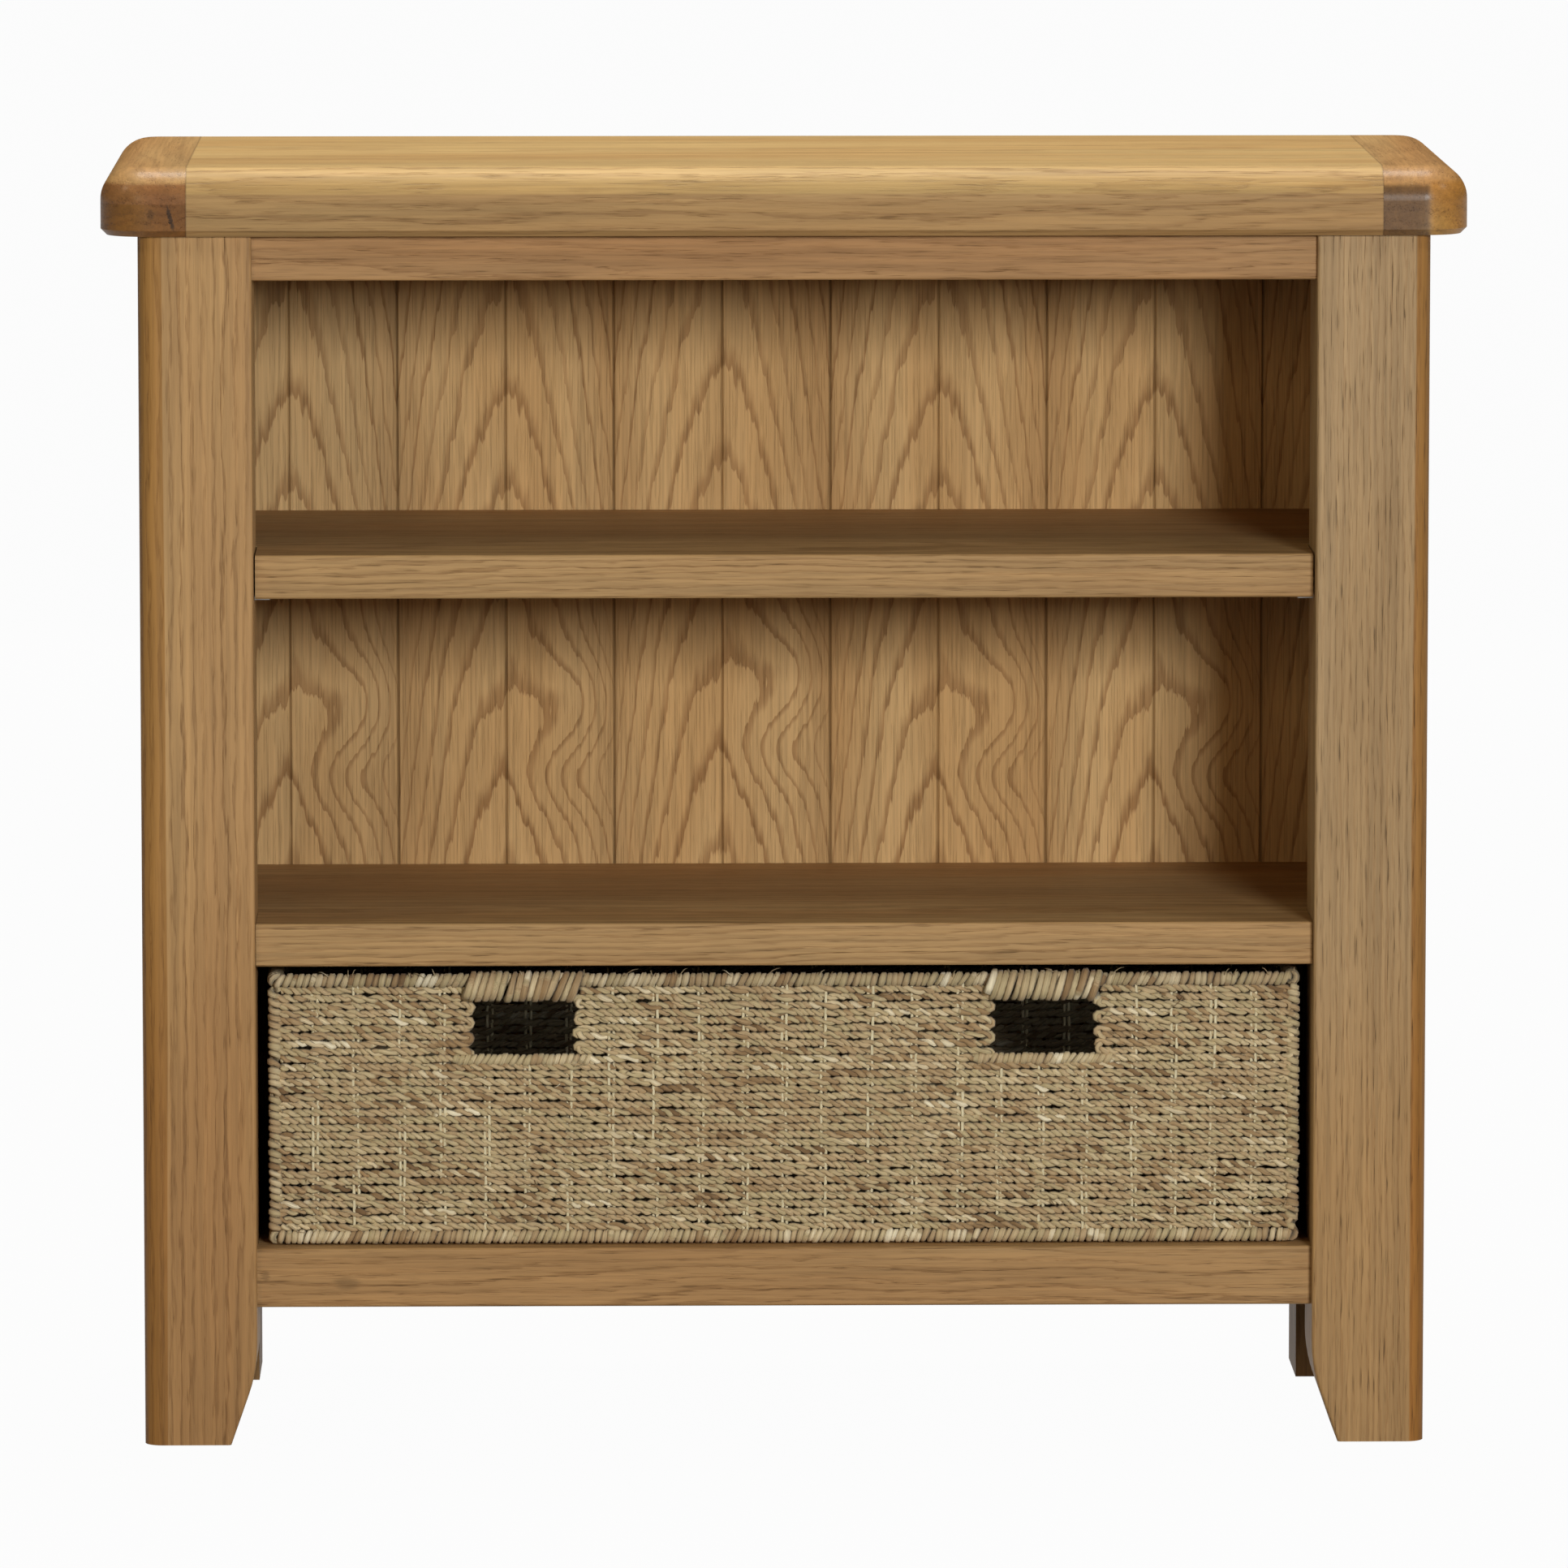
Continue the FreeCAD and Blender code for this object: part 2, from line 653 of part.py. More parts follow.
# Shelves and the bottom board: notched round the four legs.
def board(name, at_y, at_z, thickness, back, ear, gap):
    """A board from its front edge to its back edge, with ears that reach out between the legs."""
    made = body(name)
    place(made, ("0", at_y, at_z))
    depth = back + " - (" + at_y + ")"
    at = ("-(" + ear + ")", "0", "0")
    outline = rectangle(made, "XY_Plane", "outline", at, "2 * (" + ear + ")", depth)
    sheet_pad = pad(made, outline, "board", thickness)
    doc.recompute()
    round_over(made, sheet_pad, "front_edges", "shelf_arris_round", front_run(sheet_pad.Shape))
    inner = LEG_X + " - " + gap
    at = (inner, "0", "0")
    wide = ear + " - (" + inner + ")"
    deep = LEG_BACK_Y + " + " + gap + " - (" + at_y + ")"
    outline = rectangle(made, "XY_Plane", "front_notch_outline", at, wide, deep)
    front_notch = pocket(made, outline, "front_notch", None, True)
    inner = REAR_LEG_X + " - " + gap
    at = (inner, REAR_LEG_Y + " - " + gap + " - (" + at_y + ")", "0")
    wide = ear + " - (" + inner + ")"
    deep = back + " - " + REAR_LEG_Y + " + " + gap
    outline = rectangle(made, "XY_Plane", "rear_notch_outline", at, wide, deep)
    rear_notch = pocket(made, outline, "rear_notch", None, True)
    return made, [front_notch, rear_notch]


def both_sides(owner, features):
    """The same cuts on the left-hand side."""
    made = owner.newObject("PartDesign::Mirrored", "both_sides")
    made.Originals = features
    made.MirrorPlane = (plane(owner, "YZ_Plane"), [""])
    owner.Tip = made


shelf_y = FRONT_Y + " + shelf_recess"
panel_face = SIDE_RAIL_X + " + (side_rail_thickness - panel_thickness) / 2"
middle_shelf, cuts = board(
    "middle_shelf", shelf_y, "shelf_under", "shelf_thickness", BACK_PANEL_Y + " - joint_gap",
    panel_face + " - joint_gap", "joint_gap"
)
both_sides(middle_shelf, cuts)
for name, leg_x, leg_y in (("front", LEG_X, FRONT_Y), ("rear", REAR_LEG_X, REAR_LEG_Y)):
    reach = "(" + leg_x + " + shelf_tenon_length)"
    from_y = leg_y + " + (leg_depth - shelf_tenon_width) / 2 - (" + shelf_y + ")"
    at = ("-" + reach, from_y, "tenon_shoulder")
    outline = rectangle(
        middle_shelf, "XY_Plane", name + "_tenon_outline", at, "2 * " + reach, "shelf_tenon_width"
    )
    pad(middle_shelf, outline, name + "_tenons", "shelf_thickness - 2 * tenon_shoulder")

loose_shelf_y = FRONT_Y + " + loose_shelf_recess"
upper_shelf, cuts = board(
    "upper_shelf", loose_shelf_y, "loose_shelf_under", "loose_shelf_thickness",
    BACK_PANEL_Y + " - loose_shelf_gap", SIDE_RAIL_X + " - 2 * loose_shelf_gap", "loose_shelf_gap"
)
both_sides(upper_shelf, cuts)

pins = []
for side in ("", "-"):
    for leg_x, y in (
        (LEG_X, FRONT_Y + " + leg_depth / 2"),
        (REAR_LEG_X, REAR_LEG_Y + " + leg_depth / 2"),
    ):
        start = leg_x if side == "" else "-(" + leg_x + " + pin_depth)"
        shank = rod("pin_shank", (start, y, PIN_Z), "pin_radius", "pin_depth", "x")
        start = leg_x + " - pin_reach" if side == "" else "-" + leg_x
        at = (start, y + " - pin_width / 2", "loose_shelf_under - pin_blade_thickness")
        blade = block("pin_blade", at, ("pin_reach", "pin_width", "pin_blade_thickness"))
        pins.append(fuse("pin", [shank, blade]))
shelf_pins = group("shelf_pins", pins)

floor_y = bottom_rail_y + " + rail_thickness"
bottom_board, cuts = board(
    "bottom_board", floor_y, FLOOR_BOARD_TOP + " - board_thickness", "board_thickness", rear_rail_y,
    SIDE_RAIL_X + " - joint_gap", "joint_gap"
)
both_sides(bottom_board, cuts)
tongue_z = "(board_thickness - board_tongue_thickness) / 2"
tongue_half = "(" + LEG_X + " - joint_gap)"
outline = rectangle(
    bottom_board, "XY_Plane", "tongue_outline", ("-" + tongue_half, "-board_tongue_length", tongue_z),
    "2 * " + tongue_half, rear_rail_y + " - (" + floor_y + ") + 2 * board_tongue_length"
)
pad(bottom_board, outline, "tongues", "board_tongue_thickness")

cleats = []
for side in ("", "-"):
    start = SIDE_RAIL_X + " - cleat_width" if side == "" else "-" + SIDE_RAIL_X
    at = (start, LEG_BACK_Y + " + joint_gap", FLOOR_BOARD_TOP + " - board_thickness - cleat_height")
    span = ("cleat_width", REAR_LEG_Y + " - " + LEG_BACK_Y + " - 2 * joint_gap", "cleat_height")
    cleats.append(block("cleat", at, span))
bottom_cleats = group("bottom_cleats", cleats)


# Top: two long boards edge to edge, held at both ends by tongues in end boards.
END_X = "(top_width / 2 - end_board_width)"
JOINT_Y = "(board_joint_depth - top_depth / 2)"
TONGUE_Z = "(overall_height - (top_thickness + tongue_thickness) / 2)"
slab = body("top_slab")
place(slab, ("-top_width / 2", "-top_depth / 2", UNDER_TOP))
outline = rectangle(slab, "XY_Plane", "outline", ("0", "0", "0"), "top_width", "top_depth")
pad(slab, outline, "slab", "top_thickness")
doc.recompute()
corners = chosen(*[upright(slab.Tip.Shape, x, y) for x in (0, 1) for y in (0, 1)])
round_over(slab, slab.Tip, "plan_corners", "top_plan_round", corners)
doc.recompute()
round_over(slab, slab.Tip, "upper_edges", "top_round", high_edges(slab.Tip.Shape))
doc.recompute()
bevel = slab.newObject("PartDesign::Chamfer", "lower_edges")
lower = edges_where(slab.Group[-2].Shape, low_edges(slab.Group[-2].Shape))
bevel.Base = (slab.Group[-2], ["Edge" + str(number) for number in lower])
bind(bevel, "Size", "top_under_bevel")

blocks = []
for side in ("", "-"):
    for y in (top_rail_y + " + rail_thickness", rear_rail_y + " - fixing_block_width"):
        x = side + "top_width * fixing_block_out_share - fixing_block_length / 2"
        at = (x, y, UNDER_TOP + " - fixing_block_height")
        span = ("fixing_block_length", "fixing_block_width", "fixing_block_height")
        blocks.append(block("fixing_block", at, span))
top_fixing_blocks = group("top_fixing_blocks", blocks)


def top_board(name, from_y, to_y, tongue_from, tongue_to):
    """A long board of the top with a tongue at each end."""
    at = ("-" + END_X, from_y, UNDER_TOP)
    span = ("2 * " + END_X, "(" + to_y + ") - (" + from_y + ")", "top_thickness")
    plain = overlap(name + "_plain", slab, block(name + "_zone", at, span))
    at = ("-" + END_X + " - tongue_length", tongue_from, TONGUE_Z)
    span = (
        "2 * (" + END_X + " + tongue_length)", "(" + tongue_to + ") - (" + tongue_from + ")",
        "tongue_thickness"
    )
    made = fuse(name + "_whole", [plain, block(name + "_tongue", at, span)])
    made.Label = name
    return made


FRONT_EDGE = "-top_depth / 2"
BACK_EDGE = "top_depth / 2"
top_board_front = top_board(
    "top_board_front", FRONT_EDGE, JOINT_Y, FRONT_EDGE + " + tongue_setback", JOINT_Y
)
top_board_back = top_board(
    "top_board_back", JOINT_Y, BACK_EDGE, JOINT_Y, BACK_EDGE + " - tongue_setback"
)
at = (END_X, "-top_depth / 2", UNDER_TOP)
zone = block("top_end_zone", at, ("end_board_width", "top_depth", "top_thickness"))
at = (END_X, "tongue_setback - top_depth / 2 - joint_gap", TONGUE_Z)
span = ("tongue_length + joint_gap", "top_depth - 2 * tongue_setback + 2 * joint_gap", "tongue_thickness")
end_plain = overlap("top_end_plain", slab, zone)
top_end_right = cut("top_end_right", end_plain, [block("top_end_groove", at, span)])
top_end_right.Label = "top_end_right"
top_end_left = mirror("top_end_left", top_end_right)


# Basket: wrapped rolls along its edges, with woven walls between them.
RING_X = "(" + BASKET_HALF + " - rim_radius)"
RING_Y = "(" + BASKET_DEEP + " / 2 - rim_radius)"
BASKET_Y = "(" + BASKET_FRONT + " + " + BASKET_DEEP + " / 2)"
LOW_RING_Z = "(" + BASKET_UNDER + " + rim_radius)"
HIGH_RING_Z = "(" + BASKET_UNDER + " + " + BASKET_HIGH + " - rim_radius)"
GRIP_Z = "(" + HIGH_RING_Z + " - grip_drop)"
HOLE_ROLL_Z = "(" + GRIP_Z + " - grip_radius - hole_height - hole_roll_radius)"


def rim(name, z):
    """A closed roll round the basket: a frame with all its long edges rounded."""
    made = body(name)
    place(made, ("-" + BASKET_HALF, BASKET_FRONT, z + " - rim_radius"))
    wide = "2 * " + BASKET_HALF
    outline = rectangle(made, "XY_Plane", "outline", ("0", "0", "0"), wide, BASKET_DEEP)
    pad(made, outline, "frame", "2 * rim_radius")
    at = ("2 * rim_radius", "2 * rim_radius", "0")
    wide = "2 * " + BASKET_HALF + " - 4 * rim_radius"
    high = BASKET_DEEP + " - 4 * rim_radius"
    housing(made, "XY_Plane", "mouth", at, wide, high, None, True)
    tip = made.Tip
    round_over(made, tip, "roll", "rim_round", chosen(low_edges(tip.Shape), high_edges(tip.Shape)))
    return made


def rim_room(name, side, z):
    """The room that one long run of a rim takes."""
    at = ("-" + BASKET_HALF, BASKET_Y + " + " + side + RING_Y, z)
    return rod(name, at, "rim_radius + joint_gap", "2 * " + BASKET_HALF, "x")


def short_rim_room(name, side, z):
    """The room that one short run of a rim takes."""
    at = (side + RING_X, BASKET_FRONT + " + " + BASKET_DEEP, z)
    return rod(name, at, "rim_radius + joint_gap", BASKET_DEEP, "-y")


def uprights(name, radius, gap):
    """Four upright rods at the corners of the basket, from rim to rim."""
    made = []
    low = LOW_RING_Z + " + " + gap
    for x in (RING_X, "-" + RING_X):
        for y in (BASKET_Y + " + " + RING_Y, BASKET_Y + " - " + RING_Y):
            length = HIGH_RING_Z + " - " + LOW_RING_Z + " - 2 * (" + gap + ")"
            made.append(rod(name, (x, y, low), radius, length, "z"))
    return made


basket_bottom_rim = rim("basket_bottom_rim", LOW_RING_Z)
basket_top_rim = rim("basket_top_rim", HIGH_RING_Z)
rolls = uprights("corner_roll", "rim_radius", "(rim_radius + joint_gap)")
basket_corner_rolls = group("basket_corner_rolls", rolls)
roll_rooms = uprights("corner_roll_room", "rim_radius + joint_gap", "0")

grips = []
grip_rooms = []
hole_rolls = []
hole_rooms = []
for side in ("", "-"):
    centre = side + "2 * " + BASKET_HALF + " * hole_out_share"
    at = (centre + " - grip_length / 2", BASKET_FRONT + " + rim_radius", GRIP_Z)
    bar = rod("grip_bar", at, "grip_radius", "grip_length", "x")
    grips.append(cut("grip", bar, [rim_room("grip_rim_room", "-", HIGH_RING_Z)]))
    at = (centre + " - grip_length / 2 - joint_gap", BASKET_FRONT + " + rim_radius", GRIP_Z)
    grip_rooms.append(rod("grip_room", at, "grip_radius + joint_gap", "grip_length + 2 * joint_gap", "x"))
    at = (centre + " - hole_roll_length / 2", BASKET_FRONT + " + rim_radius", HOLE_ROLL_Z)
    hole_rolls.append(rod("hole_roll", at, "hole_roll_radius", "hole_roll_length", "x"))
    at = (centre + " - hole_roll_length / 2 - joint_gap", BASKET_FRONT + " + rim_radius", HOLE_ROLL_Z)
    hole_rooms.append(
        rod("hole_roll_room", at, "hole_roll_radius + joint_gap", "hole_roll_length + 2 * joint_gap", "x")
    )
    at = (centre + " - hole_width / 2", BASKET_FRONT, HOLE_ROLL_Z)
    span = ("hole_width", "2 * rim_radius", HIGH_RING_Z + " - " + HOLE_ROLL_Z)
    hole_rooms.append(block("hole_room", at, span))
basket_grips = group("basket_grips", grips)
basket_hole_rolls = group("basket_hole_rolls", hole_rolls)


def wall(name, at, span, rims, rest):
    """A woven wall that seats on the rims, then on what else it meets."""
    seated = cut(name + "_seated", block(name + "_sheet", at, span), rims)
    made = cut(name, seated, rest)
    made.Label = name
    return made


wall_z = LOW_RING_Z + " + rim_seat"
wall_high = HIGH_RING_Z + " - " + LOW_RING_Z + " - 2 * rim_seat"
half_long = "(" + RING_X + " - rim_seat)"
half_short = "(" + RING_Y + " - rim_seat)"
front_rims = [rim_room("front_rim_room", "-", z) for z in (LOW_RING_Z, HIGH_RING_Z)]
back_rims = [rim_room("back_rim_room", "", z) for z in (LOW_RING_Z, HIGH_RING_Z)]
side_rims = [short_rim_room("side_rim_room", "", z) for z in (LOW_RING_Z, HIGH_RING_Z)]
other_side_rim = short_rim_room("other_side_rim_room", "-", LOW_RING_Z)

at = ("-" + half_long, BASKET_FRONT + " + rim_radius - weave_thickness / 2", wall_z)
span = ("2 * " + half_long, "weave_thickness", wall_high)
front_rolls = [roll_rooms[1], roll_rooms[3]]
basket_front = wall("basket_front", at, span, front_rims, front_rolls + grip_rooms + hole_rooms)
back_y = BASKET_FRONT + " + " + BASKET_DEEP + " - rim_radius - weave_thickness / 2"
at = ("-" + half_long, back_y, wall_z)
basket_back = wall("basket_back", at, span, back_rims, [roll_rooms[0], roll_rooms[2]])
at = (RING_X + " - weave_thickness / 2", BASKET_Y + " - " + half_short, wall_z)
span = ("weave_thickness", "2 * " + half_short, wall_high)
basket_right = wall("basket_right", at, span, side_rims, [roll_rooms[0], roll_rooms[1]])
basket_left = mirror("basket_left", basket_right)
at = ("-" + half_long, BASKET_Y + " - " + half_short, LOW_RING_Z + " - weave_thickness / 2")
span = ("2 * " + half_long, "2 * " + half_short, "weave_thickness")
low_rims = [front_rims[0], back_rims[0]]
basket_base = wall("basket_base", at, span, low_rims, [side_rims[0], other_side_rim])

doc.recompute()

NODES = [
    top_board_front,
    top_board_back,
    top_end_left,
    top_end_right,
    front_leg_left,
    front_leg,
    rear_leg_left,
    rear_leg,
    top_front_rail,
    top_rear_rail,
    bottom_front_rail,
    bottom_rear_rail,
    upper_side_rail_left,
    upper_side_rail,
    lower_side_rail_left,
    lower_side_rail,
    side_panel_left,
    side_panel,
    panel,
    middle_shelf,
    bottom_board,
    bottom_cleats,
    top_fixing_blocks,
    shelf_pins,
    upper_shelf,
    basket_front,
    basket_back,
    basket_left,
    basket_right,
    basket_base,
    basket_top_rim,
    basket_bottom_rim,
    basket_corner_rolls,
    basket_grips,
    basket_hole_rolls,
]

for item in doc.Objects:
    if "Invalid" in item.State or "Error" in item.State:
        raise RuntimeError("not computed: " + item.Label)
for node in NODES:
    if node.Shape.isNull() or not node.Shape.isValid() or not node.Shape.Solids:
        raise RuntimeError("bad shape: " + node.Label)
    node.Shape.exportStep("parts/" + node.Label + ".step")
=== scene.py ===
import math

import bpy
import numpy as np
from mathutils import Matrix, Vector


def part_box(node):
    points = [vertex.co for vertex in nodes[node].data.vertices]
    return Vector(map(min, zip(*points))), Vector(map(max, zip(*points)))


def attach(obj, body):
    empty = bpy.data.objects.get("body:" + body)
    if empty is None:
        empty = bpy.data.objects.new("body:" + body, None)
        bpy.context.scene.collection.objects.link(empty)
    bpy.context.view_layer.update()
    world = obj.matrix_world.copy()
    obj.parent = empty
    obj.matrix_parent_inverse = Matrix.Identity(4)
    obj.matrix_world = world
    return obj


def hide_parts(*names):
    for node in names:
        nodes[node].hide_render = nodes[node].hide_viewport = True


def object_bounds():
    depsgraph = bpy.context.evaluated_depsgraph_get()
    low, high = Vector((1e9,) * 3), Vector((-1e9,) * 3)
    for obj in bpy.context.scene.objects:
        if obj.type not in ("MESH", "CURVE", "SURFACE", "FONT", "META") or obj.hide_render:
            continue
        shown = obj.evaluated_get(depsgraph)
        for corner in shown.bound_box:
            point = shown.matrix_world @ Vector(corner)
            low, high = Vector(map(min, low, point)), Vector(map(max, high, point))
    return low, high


# The low bookcase: oak and veneer over the CAD boards, and strands of seagrass for the basket.
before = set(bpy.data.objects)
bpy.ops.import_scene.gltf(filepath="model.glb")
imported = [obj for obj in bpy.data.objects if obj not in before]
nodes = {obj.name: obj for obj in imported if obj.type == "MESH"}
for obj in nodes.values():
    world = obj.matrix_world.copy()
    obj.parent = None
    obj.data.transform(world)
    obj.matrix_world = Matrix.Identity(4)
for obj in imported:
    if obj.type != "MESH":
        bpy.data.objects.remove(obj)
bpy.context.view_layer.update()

MM = 0.001
SEED = 11
draw = np.random.default_rng(SEED)


def srgb(red, green, blue):
    """A colour given as 0 to 255 screen values, as the linear values that a shader takes."""
    def linear(value):
        share = value / 255
        return share / 12.92 if share <= 0.04045 else ((share + 0.055) / 1.055) ** 2.4
    return (linear(red), linear(green), linear(blue), 1.0)


class Graph:
    """The node tree of one material, with short calls that add a node and return its output."""

    def __init__(self, name):
        self.material = bpy.data.materials.new(name)
        self.material.use_nodes = True
        self.tree = self.material.node_tree
        self.tree.nodes.clear()

    def feed(self, socket, value):
        """Links an output to a socket, or sets the socket to a plain value."""
        if isinstance(value, bpy.types.NodeSocket):
            self.tree.links.new(value, socket)
        else:
            socket.default_value = value

    def add(self, kind, inputs=None, out=0, **settings):
        made = self.tree.nodes.new(kind)
        for key, value in settings.items():
            setattr(made, key, value)
        for key, value in (inputs or {}).items():
            self.feed(made.inputs[key], value)
        return made.outputs[out] if made.outputs else None

    def math(self, operation, *values):
        return self.add("ShaderNodeMath", dict(enumerate(values)), operation=operation)

    def join(self, x, y, z):
        return self.add("ShaderNodeCombineXYZ", {0: x, 1: y, 2: z})

    def split(self, vector):
        made = self.tree.nodes.new("ShaderNodeSeparateXYZ")
        self.tree.links.new(vector, made.inputs[0])
        return made.outputs[0], made.outputs[1], made.outputs[2]

    def noise(self, vector, detail=2.0, out=0):
        return self.add(
            "ShaderNodeTexNoise", {"Vector": vector, "Scale": 1.0, "Detail": detail}, out=out
        )

    def random_of(self, number):
        """One random value for each whole number."""
        return self.add("ShaderNodeTexWhiteNoise", {"W": number}, noise_dimensions="1D")

    def scaled(self, across, other, along, scales, shift):
        """A noise coordinate: three places times three scales per metre, moved by a shift."""
        parts = [
            self.math("MULTIPLY_ADD", place, scale, shift)
            for place, scale in zip((across, other, along), scales)
        ]
        return self.join(*parts)

    def swing(self, value, reach):
        """Noise from 0 to 1 turned into a value from -reach to reach."""
        return self.math("MULTIPLY_ADD", value, 2 * reach, -reach)

    def smooth(self, value, start, end, low=0.0, high=1.0):
        return self.add(
            "ShaderNodeMapRange",
            {"Value": value, "From Min": start, "From Max": end, "To Min": low, "To Max": high},
            interpolation_type="SMOOTHSTEP",
        )

    def squared(self, value):
        return self.math("MULTIPLY", value, value)

    def bump(self, value, centre, half):
        """One at the centre, falling off smoothly on both sides."""
        away = self.math("DIVIDE", self.math("SUBTRACT", value, centre), half)
        return self.math("EXPONENT", self.math("MULTIPLY", self.squared(away), -1.0))

    def ramp(self, value, stops):
        made = self.tree.nodes.new("ShaderNodeValToRGB")
        self.tree.links.new(value, made.inputs[0])
        points = made.color_ramp.elements
        while len(points) < len(stops):
            points.new(0.5)
        for point, (place, colour) in zip(points, stops):
            point.position = place
            point.color = colour
        return made.outputs[0]

    def mix(self, factor, first, second, blend="MIX"):
        made = self.tree.nodes.new("ShaderNodeMix")
        made.data_type = "RGBA"
        made.blend_type = blend
        for number, value in ((0, factor), (6, first), (7, second)):
            self.feed(made.inputs[number], value)
        return made.outputs[2]

    def shade(self, colour, factor):
        """A colour times a grey factor: below 1 makes it darker."""
        grey = self.join(factor, factor, factor)
        return self.mix(1.0, colour, grey, "MULTIPLY")

    def finish(self, colour, roughness, height=None, depth=0.0, **sockets):
        """The surface shader, with an optional bump."""
        inputs = {"Base Color": colour, "Roughness": roughness}
        if height is not None:
            inputs["Normal"] = self.add("ShaderNodeBump", {"Height": height, "Distance": depth})
        inputs.update({key.replace("_", " "): value for key, value in sockets.items()})
        surface = self.add("ShaderNodeBsdfPrincipled", inputs)
        self.add("ShaderNodeOutputMaterial", {"Surface": surface})
        return self.material


def dress(name, material):
    """One material over a whole CAD node."""
    mesh = nodes[name].data
    mesh.materials.clear()
    mesh.materials.append(material)


# Oak. Places are metres: across and other lie in the end of the board, along runs with the grain.
LIGHT_OAK = srgb(182, 146, 98)
DARK_OAK = srgb(124, 86, 46)
WARM_OAK = srgb(174, 132, 84)
PLACE_ORDER = {"x": (1, 2, 0), "y": (0, 2, 1), "z": (0, 1, 2)}
# How fine each noise is, per metre: across the grain, in the other direction and along it.
BEND_SCALES = (7, 7, 1.6)
EDGE_SCALES = (60, 60, 12)
FEATHER_SCALES = (620, 620, 40)
PORE_SCALES = (1000, 1000, 38)
STREAK_SCALES = (420, 420, 9)
BROAD_SCALES = (90, 90, 2.4)
PATCH_SCALES = (16, 16, 1.8)
EDGE_REACH = 0.8  # of a ring's width
FEATHER_REACH = 0.5
LATE_WOOD = 0.86
LAYER_WAVER = 0.004
SEAM = 0.0008
SEAM_TONE = 0.72
PORE_DEPTH = 0.0002
OAK_ROUGHNESS = 0.55
OAK_SPECULAR = 0.2
LACQUER_ROUGHNESS = 0.25


def growth_rings(g, wood, bend, pith, tilt, wave, ring, width, shift):
    """How dark the growth rings are at each place, from 0 to 1. They run round the pith line."""
    across, other, along = wood
    a = g.math("ADD", across, g.swing(bend[0], wave))
    b = g.math("ADD", other, g.swing(bend[1], wave))
    a = g.math("ADD", a, g.math("MULTIPLY_ADD", along, tilt, -pith[0]))
    b = g.math("SUBTRACT", b, pith[1])
    radius = g.math("SQRT", g.math("ADD", g.squared(a), g.squared(b)))
    edge = g.swing(g.noise(g.scaled(*wood, EDGE_SCALES, shift + 3), 3.0), ring * EDGE_REACH)
    feather = g.swing(g.noise(g.scaled(*wood, FEATHER_SCALES, shift + 5), 2.0), ring * FEATHER_REACH)
    count = g.math("DIVIDE", g.math("ADD", radius, g.math("ADD", edge, feather)), ring)
    turn = g.math("FRACT", count)
    strength = g.random_of(g.math("FLOOR", count))
    early = g.math("SUBTRACT", 1.0, g.smooth(turn, 0.04, width))
    late = g.smooth(turn, LATE_WOOD, 1.0)
    band = g.math("MAXIMUM", early, g.math("MULTIPLY", late, 0.9))
    return g.math("MULTIPLY", band, g.math("MULTIPLY_ADD", strength, 0.65, 0.35))


def paint_shade_layer(g, colour, places, waver, layer):
    """Painted shade: a tint over the part of a board between two places in x and below a height, darkening it
    where less light falls.
    """
    (low_x, high_x), high_z, tint, soft = layer
    x = g.math("ADD", places[0], g.swing(waver, LAYER_WAVER))
    right_of = g.smooth(x, low_x, low_x + soft)
    left_of = g.smooth(x, high_x, high_x + soft, 1, 0)
    below = g.smooth(places[2], high_z, high_z + soft, 1, 0)
    inside = g.math("MULTIPLY", g.math("MULTIPLY", right_of, left_of), below)
    return g.mix(inside, colour, g.mix(1.0, colour, tint, "MULTIPLY"))


def dark_mark(g, colour, places, ragged, mark):
    """A small dark mark, such as a check or a knot, on the front of a board."""
    x, z, half_x, half_z, lean, amount = mark
    off_z = g.math("SUBTRACT", places[2], z)
    off_x = g.math("ADD", g.math("SUBTRACT", places[0], x), g.math("MULTIPLY", off_z, lean))
    off_x = g.math("DIVIDE", g.math("ADD", off_x, g.swing(ragged, half_x)), half_x)
    off_z = g.math("DIVIDE", off_z, half_z)
    away = g.math("ADD", g.squared(off_x), g.squared(off_z))
    return g.shade(colour, g.smooth(away, 0.2, 1.3, 1.0 - amount, 1.0))


